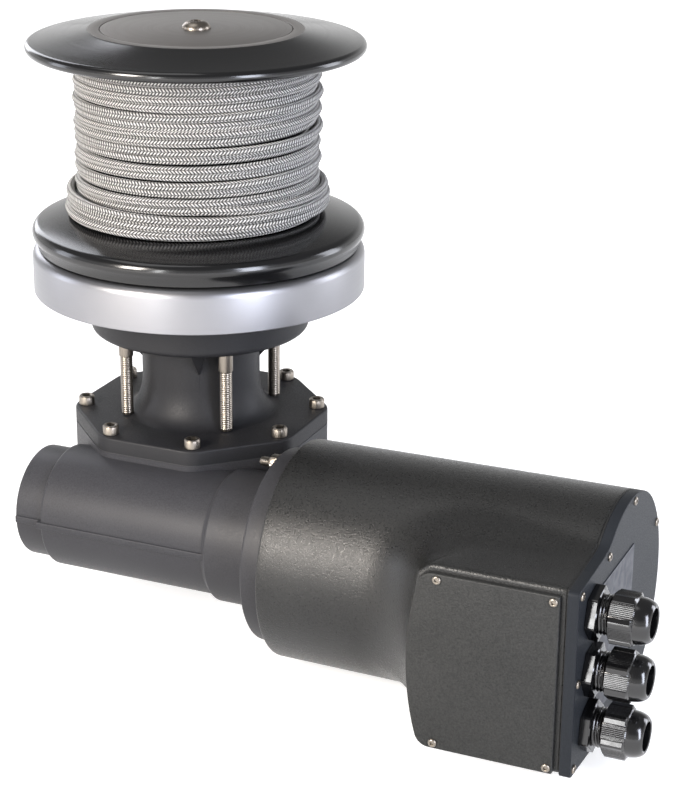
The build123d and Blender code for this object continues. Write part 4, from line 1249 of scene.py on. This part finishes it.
@dataclass
class GearCase:
    """Octagonal gear case with the worm's round housing across its front, and the motor flange."""

    block_r: float = 83.6 * MM
    corner: float = 18.0 * MM
    block_under: float = -170.0 * MM
    boss_r: float = 34.0 * MM
    housing_r: float = 38.8 * MM
    housing_left: float = -59.0 * MM
    nose_r: float = 35.3 * MM
    nose_left: float = -78.0 * MM
    collar_r: float = 41.9 * MM
    collar_left: float = 57.0 * MM
    rib_h: float = 4.4 * MM
    rib_proud: float = 1.3 * MM
    flange_r: float = 60.0 * MM
    mouth_r: float = 20.0 * MM

    def housing(self) -> Piece:
        """Worm housing: nose with the end cap's recess, body, collar."""
        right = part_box("motor_flange")[0].x
        profile = rounded([
            (0, self.nose_left + 5 * MM, 0), (self.mouth_r, self.nose_left + 5 * MM, 0),
            (self.mouth_r, self.nose_left, 0.8 * MM),
            (self.nose_r, self.nose_left, 1.6 * MM), (self.nose_r, self.housing_left, 1.2 * MM),
            (self.housing_r, self.housing_left + 1.5 * MM, 2.0 * MM),
            (self.housing_r, self.collar_left - 2 * MM, 2.2 * MM),
            (self.collar_r, self.collar_left + 1.4 * MM, 1.6 * MM), (self.collar_r, right, 0), (0, right, 0),
        ], 6, closed=False)
        return put(turned("worm_housing", profile, 160), along_motor())

    def rib(self) -> Piece:
        """Parting rib along the front of the worm housing."""
        half = self.rib_h / 2
        reach = self.housing_r + self.rib_proud
        foot = self.housing_r - 4 * MM
        section = rounded([
            (-half - 0.3 * MM, foot, 0), (-half, reach, 0.6 * MM), (half, reach, 0.6 * MM), (half + 0.3 * MM, foot, 0),
        ], 4)
        loops = [[(u, v, x) for u, v in section] for x in (self.housing_left - 1 * MM, self.collar_left + 1 * MM)]
        body = drawn("rib_body", loops)
        drop = self.housing_r - self.nose_r
        loops = [[(u, v - drop, x) for u, v in section] for x in (self.nose_left + 1 * MM, self.housing_left + 2 * MM)]
        nose = drawn("rib_nose", loops)
        return put(joined([body, nose], "parting_rib"), along_motor())

    def build(self, shop: Paintshop) -> None:
        """Model block, boss, housing and rib, and the flange to the motor."""
        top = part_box("housing_gasket")[0].z
        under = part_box("gearbox_body")[0].z
        outline = octagon(self.block_r, self.corner)
        block = plate("case_block", outline, top - self.block_under, 3.0 * MM, 4)
        put(block, Matrix.Translation((0, 0, top)) @ Matrix.Rotation(math.pi, 4, "X"))
        boss = turned("case_boss", rounded([
            (0, under, 0), (self.boss_r, under, 2.5 * MM), (self.boss_r, self.block_under, 4 * MM),
            (self.boss_r + 9 * MM, self.block_under, 0), (0, self.block_under + 1 * MM, 0),
        ], 5, closed=False), 120)
        case = joined([block, boss, self.housing(), self.rib()], "gear_case")
        shop.fit(case, Body.HOUSING, Slot.CASTING, "gearbox_body", "worm_end_cap")
        low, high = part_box("motor_flange")
        flange = turned("drive_flange", rounded([
            (0, low.x, 0), (self.flange_r, low.x, 1.5 * MM), (self.flange_r, high.x, 1.5 * MM), (0, high.x, 0),
        ], 5, closed=False), 144)
        shop.fit(put(flange, along_motor()), Body.HOUSING, Slot.CASTING, "motor_flange")


# ------------------------------------------------------------------ motor cover and control box
@dataclass
class CoverShape:
    """Outline of the round motor cover with the control box that sweeps out of its front.

    Places along the motor are world X; u runs to the front and w up from the motor's axis.
    """

    start_x: float = 105.0 * MM
    end_x: float = 303.0 * MM
    start_r: float = 67.4 * MM
    end_r: float = 69.0 * MM
    reach: float = 94.0 * MM
    top: float = 51.0 * MM
    low: float = -61.0 * MM
    slope: float = math.tan(math.radians(3.4))
    wall_x: float = 219.0 * MM
    begin: float = 15.0 * MM
    sweep_r: float = 50.0 * MM
    valley_r: float = 7.0 * MM
    valley_growth: float = 0.16
    corner: float = 8.0 * MM
    corner_growth: float = 0.7
    edge: float = 2.6 * MM
    farthest: float = 140.0 * MM
    halvings: int = 24
    face_lines: int = 84
    rise_lines: int = 30
    back_lines: int = 64

    def radius(self, x: float) -> float:
        """Radius of the round cover at a place along the motor."""
        share = (x - self.start_x) / (self.end_x - self.start_x)
        return self.start_r + (self.end_r - self.start_r) * min(1.0, max(0.0, share))

    def outside(self, x: float, u: float, w: float) -> float:
        """How far a point is outside the cover with its box; negative inside.

        Args:
            x: Place along the motor.
            u: Place in front of the motor's axis.
            w: Height over the motor's axis.

        Returns:
            The distance, with the box's fillet to the round cover and its rounded front edges.
        """
        tube = math.hypot(u, w) - self.radius(x)
        flare = (self.reach - u) * self.slope
        corner = self.corner + self.corner_growth * max(self.reach - 4 * MM - u, 0.0)
        over = max(w - self.top - flare, self.low - flare - w) + corner
        left = self.wall_x - x + corner
        behind = self.begin - u + corner
        away = math.sqrt(max(over, 0.0) ** 2 + max(left, 0.0) ** 2 + max(behind, 0.0) ** 2)
        box = away + min(max(over, left, behind), 0.0) - corner
        share = max(left, 0.0) ** 2 / max(away, TOUCH) ** 2
        valley = self.valley_r + self.valley_growth * max(self.end_x - x, 0.0)
        fillet = valley + (self.sweep_r - valley) * share
        blend = max(fillet, min(tube, box)) - math.hypot(max(fillet - tube, 0.0), max(fillet - box, 0.0))
        ahead = u - self.reach
        mixed = max(self.edge - abs(blend - ahead), 0.0)
        return max(blend, ahead) + mixed ** 2 / (4 * self.edge)

    def distance(self, x: float, angle: float) -> float:
        """Distance from the motor's axis to the surface, at an angle from the front."""
        low = self.radius(x)
        if math.cos(angle) <= 0.02:
            return low
        low, high = low - 0.5 * MM, self.farthest
        for _ in range(self.halvings):
            middle = (low + high) / 2
            inside = self.outside(x, middle * math.cos(angle), middle * math.sin(angle)) < 0
            low, high = (middle, high) if inside else (low, middle)
        return low

    def shoulder(self, x: float, w: float) -> float:
        """About how far forward the box's upper or lower edge lies at a place along the motor."""
        depth = self.reach - math.sqrt(max(self.radius(x) ** 2 - w ** 2, 0.0))
        run = min(1.0, max(0.0, (x - self.wall_x + self.sweep_r) / self.sweep_r))
        return self.reach - depth * math.sqrt(max(1 - run ** 2, 0.0))

    def angles(self, x: float) -> list[float]:
        """Angles of the grid lines, crowded at the box's corners."""
        upper = math.atan2(self.top, self.shoulder(x, self.top))
        lower = math.atan2(self.low, self.shoulder(x, self.low))
        crowded = [0.5 - 0.5 * math.cos(math.pi * k / self.face_lines) for k in range(self.face_lines)]
        quarter = [math.pi / 2 * k / self.rise_lines for k in range(self.rise_lines)]
        face = [lower + (upper - lower) * share for share in crowded]
        rise = [upper + (math.pi / 2 - upper) * (1 - math.cos(a)) for a in quarter]
        back = [math.pi / 2 + math.pi * k / self.back_lines for k in range(self.back_lines)]
        down = [-math.pi / 2 + (lower + math.pi / 2) * math.sin(a) for a in quarter]
        return face + rise + back + down

    def loop(self, x: float, place: float, inset: float = 0.0) -> list[tuple[float, float, float]]:
        """Closed loop of the surface.

        Args:
            x: Place along the motor whose outline is taken.
            place: Place along the motor where the loop lies.
            inset: How much smaller than the outline the loop is.

        Returns:
            The loop's places in the frame of along_motor: up, front, along.
        """
        loop = []
        for angle in self.angles(x):
            reach = self.distance(x, angle) - inset
            loop.append((reach * math.sin(angle), reach * math.cos(angle), place))
        return loop


@dataclass
class MotorUnit:
    """Motor cover, end plate and cover plate of the control box.

    rows holds first place, spacing and count of the cover's cross-sections, closest where it
    sweeps out to the box. edge_steps holds place and inset of the rounding at both its ends.
    Both are in millimetres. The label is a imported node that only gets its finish.
    """

    shape: CoverShape
    lid_left: float = 212.0 * MM
    lid_bulge: float = 8.0 * MM
    lid_corner: float = 9.0 * MM
    lid_edge: float = 0.8 * MM
    rows: tuple[tuple[float, float, int], ...] = ((6, 5.5, 9), (54, 1.6, 30), (102, 0.7, 34), (128, 6.4, 11))
    edge_steps: tuple[Spot, ...] = ((0.0, 1.0), (0.15, 0.5), (0.6, 0.12), (1.2, 0.0))

    def cover(self, shop: Paintshop) -> None:
        """Draw the cover's skin from the flange to the end plate."""
        shape = self.shape
        start, end = shape.start_x, shape.end_x
        loops = [shape.loop(start, start, 10 * MM)]
        loops += [shape.loop(start, start + ahead * MM, inset * MM) for ahead, inset in self.edge_steps]
        places = [start + begin * MM + step * MM * k for begin, step, count in self.rows for k in range(count)]
        loops += [shape.loop(x, x) for x in places if start + 2 * MM < x < end - 2 * MM]
        loops += [shape.loop(end, end - behind * MM, inset * MM) for behind, inset in reversed(self.edge_steps)]
        loops.append(shape.loop(end, end, 4.0 * MM))
        skin = drawn("motor_skin", loops)
        shop.fit(put(smooth(skin, 40), along_motor()), Body.HOUSING, Slot.COVER, "motor_cover")

    def end(self, shop: Paintshop) -> None:
        """Model the end plate from the cover's outline, three millimetres longer at the front."""
        low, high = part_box("end_plate")
        longer = CoverShape(reach=MOTOR_AXIS.y - low.y)
        x = self.shape.end_x
        steps = (
            (low.x, 0.3), (low.x + 0.3 * MM, 0.0), (high.x - 0.6 * MM, 0.0), (high.x - 0.2 * MM, 0.12),
            (high.x, 0.5), (high.x, 1.2),
        )
        piece = drawn("closing_plate", [longer.loop(x, place, inset * MM) for place, inset in steps])
        shop.fit(put(smooth(piece, 40), along_motor()), Body.HOUSING, Slot.PLATE, "end_plate")

    def lid(self, shop: Paintshop) -> None:
        """Model the box's cover plate with its bowed left edge."""
        low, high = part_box("box_cover_plate")
        middle = (low.z + high.z) / 2
        half = (high.z - low.z) / 2
        right = high.x
        bow = [(self.lid_left + self.lid_bulge * (k / 8) ** 2, middle + half * k / 8) for k in range(-7, 8)]
        corners = [(right, high.z, 1.4 * MM), (self.lid_left + self.lid_bulge, high.z, self.lid_corner)]
        corners += [(u, v, 0) for u, v in reversed(bow[1:-1])]
        corners += [(self.lid_left + self.lid_bulge, low.z, self.lid_corner), (right, low.z, 1.4 * MM)]
        outline = [(u, v - middle) for u, v in rounded(corners, 8)]
        piece = plate("box_lid", outline, high.y - low.y, self.lid_edge, 3)
        put(piece, out_of_front(0, high.y, middle))
        shop.fit(smooth(piece), Body.HOUSING, Slot.COVER, "box_cover_plate", finish=LID_FINISH)

    def build(self, shop: Paintshop) -> None:
        """Model all pieces round the motor."""
        self.cover(shop)
        self.end(shop)
        self.lid(shop)


# ------------------------------------------------------------------ cable glands
@dataclass
class Glands:
    """Cable glands: hexagon base, threaded neck, ribbed cap nut with a dome, rubber seal in the mouth."""

    across: float = 27.6 * MM
    base_w: float = 6.2 * MM
    neck_r: float = 11.6 * MM
    neck_show: float = 6.0 * MM
    cap_w: float = 13.4 * MM
    dome_w: float = 9.6 * MM
    mouth_r: float = 8.8 * MM
    pitch: float = 1.9 * MM
    ribs_end: float = math.radians(19)
    base_turns: tuple[float, ...] = (20, 3, 12)
    cap_turns: tuple[float, ...] = (8, 22, -10)

    def base(self) -> Piece:
        """Hexagon base with chamfered corners, from Z = 0."""
        hexa = hexagonal(self.across, self.across * 0.565)
        return smooth(shaped("gland_base", [
            (self.across * 0.47, 0), (self.across * 0.5 - 0.3 * MM, 0.0), (hexa, 0.4 * MM),
            (hexa, self.base_w - 0.5 * MM), (self.across * 0.5 - 0.4 * MM, self.base_w),
            (self.neck_r - 1.5 * MM, self.base_w),
        ], 144), 15)

    def cap(self) -> Piece:
        """Cap nut: ribbed flats, smooth corner strips, domed end with the mouth."""
        flat = self.across / 2
        corner = self.across * 0.564

        def ribbed(angle: float) -> float:
            """Radius over the ribs: flats carry fine ribs, the corners are smooth."""
            away = (angle + math.pi / 6) % (math.pi / 3) - math.pi / 6
            sharp = flat / math.cos(away)
            if abs(away) > self.ribs_end:
                return min(sharp, corner)
            return sharp - 0.15 * MM * (0.5 - 0.5 * math.cos(away / self.ribs_end * math.pi * 9)) - 0.1 * MM

        def plain(angle: float) -> float:
            """Radius of the chamfered end of the hexagon."""
            return min(ribbed(angle), flat + 0.4 * MM)

        z1 = self.cap_w
        z2 = self.cap_w + self.dome_w
        bulge, rise = flat - 0.6 * MM - self.mouth_r, self.dome_w - 0.6 * MM
        turns = [math.radians(9 * k) for k in range(10)]
        levels: list[tuple[Radius, float]] = [
            (self.neck_r - 0.5 * MM, 1 * MM), (self.neck_r + 0.3 * MM, 0.0), (flat - 0.4 * MM, 0.0),
            (plain, 0.3 * MM), (ribbed, 0.9 * MM), (ribbed, z1 - 0.7 * MM), (plain, z1),
            *[(self.mouth_r + bulge * math.cos(a), z1 + 0.6 * MM + rise * math.sin(a)) for a in turns],
            (self.mouth_r - 0.4 * MM, z2 - 0.4 * MM), (self.mouth_r - 0.6 * MM, z2 - 2 * MM),
            (self.mouth_r - 0.6 * MM, z1 - 1 * MM),
        ]
        return smooth(shaped("gland_cap", levels, 432), 25)

    def build(self, shop: Paintshop) -> None:
        """Model one gland and copy it to the three entries."""
        plate_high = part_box("end_plate")[1]
        base = self.base()
        neck = thread("gland_neck", self.neck_r, self.pitch, self.neck_show + 3 * MM, 0.8 * MM, 48)
        lower = joined([base, raised(neck, self.base_w - 0.5 * MM)], "gland_lower")
        cap = raised(self.cap(), self.base_w + self.neck_show)
        lowers, caps = [], []
        for i, (low, high) in enumerate(solids_of("gland_cap_nuts")):
            place = on_end_plate(plate_high.x, low, high)
            for made, pattern, turns in ((lowers, lower, self.base_turns), (caps, cap, self.cap_turns)):
                turn = Matrix.Rotation(math.radians(turns[i % 3]), 4, "Z")
                made.append(copied(pattern, f"{pattern.name}_{i}", place @ turn))
        discard(lower)
        discard(cap)
        shop.fit(joined(lowers, "gland_bases"), Body.HOUSING, Slot.NYLON, "gland_bodies")
        shop.fit(joined(caps, "gland_caps"), Body.HOUSING, Slot.NYLON, "gland_cap_nuts")


# ------------------------------------------------------------------ the rest
class PackedParts:
    """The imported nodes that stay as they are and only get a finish."""

    def dress(self, shop: Paintshop) -> None:
        """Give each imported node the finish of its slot."""
        for row in frame["record"]["subparts"]:
            finish = SLOT_FINISHES.get(row["material_slot"])
            if finish is not None:
                shop.coat(frame["nodes"][row["node"]], finish)
        shop.coat(frame["nodes"]["housing_gasket"], GASKET_FINISH)
        LOG.info("%d packed nodes finished", len(frame["nodes"]))


@dataclass
class Studio:
    """Pale floor, soft lamps round the object, white surroundings and the camera."""

    eye: tuple[float, float, float] = (0.5986, -1.1594, 0.4050)
    azimuth: float = 23.29
    elevation: float = 20.38
    roll: float = 0.57
    lens: float = 95.9
    world_light: float = 0.34
    ceiling: float = 0.25
    bounce: float = 0.2
    glow: float = 0.58
    floor_size: float = 8.0

    def camera(self) -> None:
        """Set up the camera from its angles."""
        turn, rise = math.radians(self.azimuth), math.radians(self.elevation)
        back = Vector((math.sin(turn) * math.cos(rise), -math.cos(turn) * math.cos(rise), math.sin(rise)))
        level = Vector((math.cos(turn), math.sin(turn), 0.0))
        upright = back.cross(level)
        lean = math.radians(self.roll)
        right = level * math.cos(lean) + upright * math.sin(lean)
        up = upright * math.cos(lean) - level * math.sin(lean)
        data = bpy.data.cameras.new("camera")
        data.lens = self.lens
        data.clip_start = 0.05
        camera = bpy.data.objects.new("camera", data)
        camera.matrix_world = Matrix.Translation(self.eye) @ Matrix((right, up, back)).transposed().to_4x4()
        bpy.context.scene.collection.objects.link(camera)
        bpy.context.scene.camera = camera

    def lamp(
        self, name: str, place: Sequence[float], aim: Sequence[float], size: Sequence[float], watts: float, colour: str,
    ) -> None:
        """Add a soft lamp.

        Args:
            name: The lamp's name.
            place: Where it hangs.
            aim: What it points at.
            size: Width and height of its face.
            watts: Its power.
            colour: Its colour.
        """
        data = bpy.data.lights.new(name, "AREA")
        data.shape = "RECTANGLE"
        data.size, data.size_y = size
        data.energy = watts
        data.color = linear(colour)[:3]
        lamp = bpy.data.objects.new(name, data)
        way = Vector(aim) - Vector(place)
        lamp.matrix_world = Matrix.Translation(place) @ way.to_track_quat("-Z", "Y").to_matrix().to_4x4()
        bpy.context.scene.collection.objects.link(lamp)

    def seen(self, tree: Tree) -> Socket:
        """Share of rays that show the background: from the eye, mirrored, or through something clear."""
        rays = add_node(tree, "ShaderNodeLightPath").outputs
        mirrored = maths(tree, "MAXIMUM", rays["Is Glossy Ray"], rays["Is Transmission Ray"])
        return maths(tree, "MAXIMUM", rays["Is Camera Ray"], mirrored)

    def surroundings(self) -> None:
        """White surroundings for the eye, softer and greyer ones for the light."""
        world = bpy.data.worlds.new("studio")
        bpy.context.scene.world = world
        world.use_nodes = True
        tree = world.node_tree
        tree.nodes.clear()
        light = add_node(tree, "ShaderNodeBackground", {"Color": linear("#f4f5f8"), "Strength": self.world_light})
        way = add_node(tree, "ShaderNodeTexCoord")
        parts = add_node(tree, "ShaderNodeSeparateXYZ", {}, {"Vector": way.outputs["Generated"]})
        upward = remap(tree, parts.outputs["Z"], (0.15, 0.5), (1.0, self.ceiling), soft=True)
        white = add_node(tree, "ShaderNodeBackground", {"Color": WHITE}, {"Strength": upward})
        shares = {0: self.seen(tree), 1: light.outputs[0], 2: white.outputs[0]}
        mix = add_node(tree, "ShaderNodeMixShader", {}, shares)
        add_node(tree, "ShaderNodeOutputWorld", {}, {"Surface": mix.outputs[0]})

    def floor(self) -> None:
        """Pale floor under the object that keeps its shadow."""
        low = CAD_BOX[0][2]
        rest()
        bpy.ops.mesh.primitive_plane_add(size=self.floor_size, location=(0, 0, 0))
        piece = named(bpy.context.object, "floor")
        raised(piece, low - 0.3 * MM)
        material = bpy.data.materials.new("pale_floor")
        material.use_nodes = True
        tree = material.node_tree
        tree.nodes.clear()
        matte = add_node(tree, "ShaderNodeBsdfDiffuse", {"Color": (0.75, 0.75, 0.75, 1)})
        dim = add_node(tree, "ShaderNodeBsdfDiffuse", {"Color": (self.bounce, self.bounce, self.bounce, 1)})
        where = add_node(tree, "ShaderNodeTexCoord")
        far = add_node(tree, "ShaderNodeVectorMath", {"operation": "LENGTH"}, {0: where.outputs["Object"]})
        strength = remap(tree, far.outputs["Value"], (0.4, 1.3), (self.glow, 1.0))
        glow = add_node(tree, "ShaderNodeEmission", {"Color": WHITE}, {"Strength": strength})
        lit = add_node(tree, "ShaderNodeAddShader", {}, {0: matte.outputs[0], 1: glow.outputs[0]})
        mix = add_node(tree, "ShaderNodeMixShader", {}, {0: self.seen(tree), 1: dim.outputs[0], 2: lit.outputs[0]})
        add_node(tree, "ShaderNodeOutputMaterial", {}, {"Surface": mix.outputs[0]})
        piece.data.materials.append(material)

    def lamps(self) -> None:
        """Soft key from the upper left front, fill from the right, light from behind."""
        middle = (0.08, -0.05, -0.05)
        self.lamp("key", (-0.42, -1.3, 0.45), middle, (0.34, 0.6), 30.0, "#fff7ee")
        self.lamp("strip", (0.02, -1.3, 0.15), (0.33, -0.14, -0.14), (0.1, 0.7), 4.0, "#ffffff")
        self.lamp("fill", (1.35, -0.75, 0.3), middle, (0.4, 1.1), 25.0, "#ebf0ff")
        self.lamp("right", (1.15, 0.8, 0.25), middle, (0.4, 0.9), 8.0, "#f2f5ff")
        self.lamp("left", (-1.5, -0.45, 0.2), middle, (0.4, 0.9), 5.0, "#eef2ff")
        self.lamp("overhead", (-0.3, -0.3, 1.4), middle, (0.9, 0.9), 4.0, "#ffffff")
        self.lamp("rim", (-1.0, 0.7, 0.6), middle, (0.4, 1.0), 5.0, "#f6f8ff")

    def build(self) -> None:
        """Set up camera, lamps, world and floor."""
        bpy.context.scene.view_settings.view_transform = "Standard"
        self.surroundings()
        self.floor()
        self.lamps()


def main() -> None:
    """Build the capstan's pieces in order."""
    logging.basicConfig(level=logging.INFO, format="%(message)s")
    studio = Studio()
    studio.camera()
    shop = Paintshop()
    PackedParts().dress(shop)
    Rope().build(shop)
    Drum().build(shop)
    DeckRing().build(shop)
    Neck().build(shop)
    GearCase().build(shop)
    MotorUnit(CoverShape()).build(shop)
    Glands().build(shop)
    Fasteners().build(shop)
    studio.build()


if __name__ == "__main__":
    main()
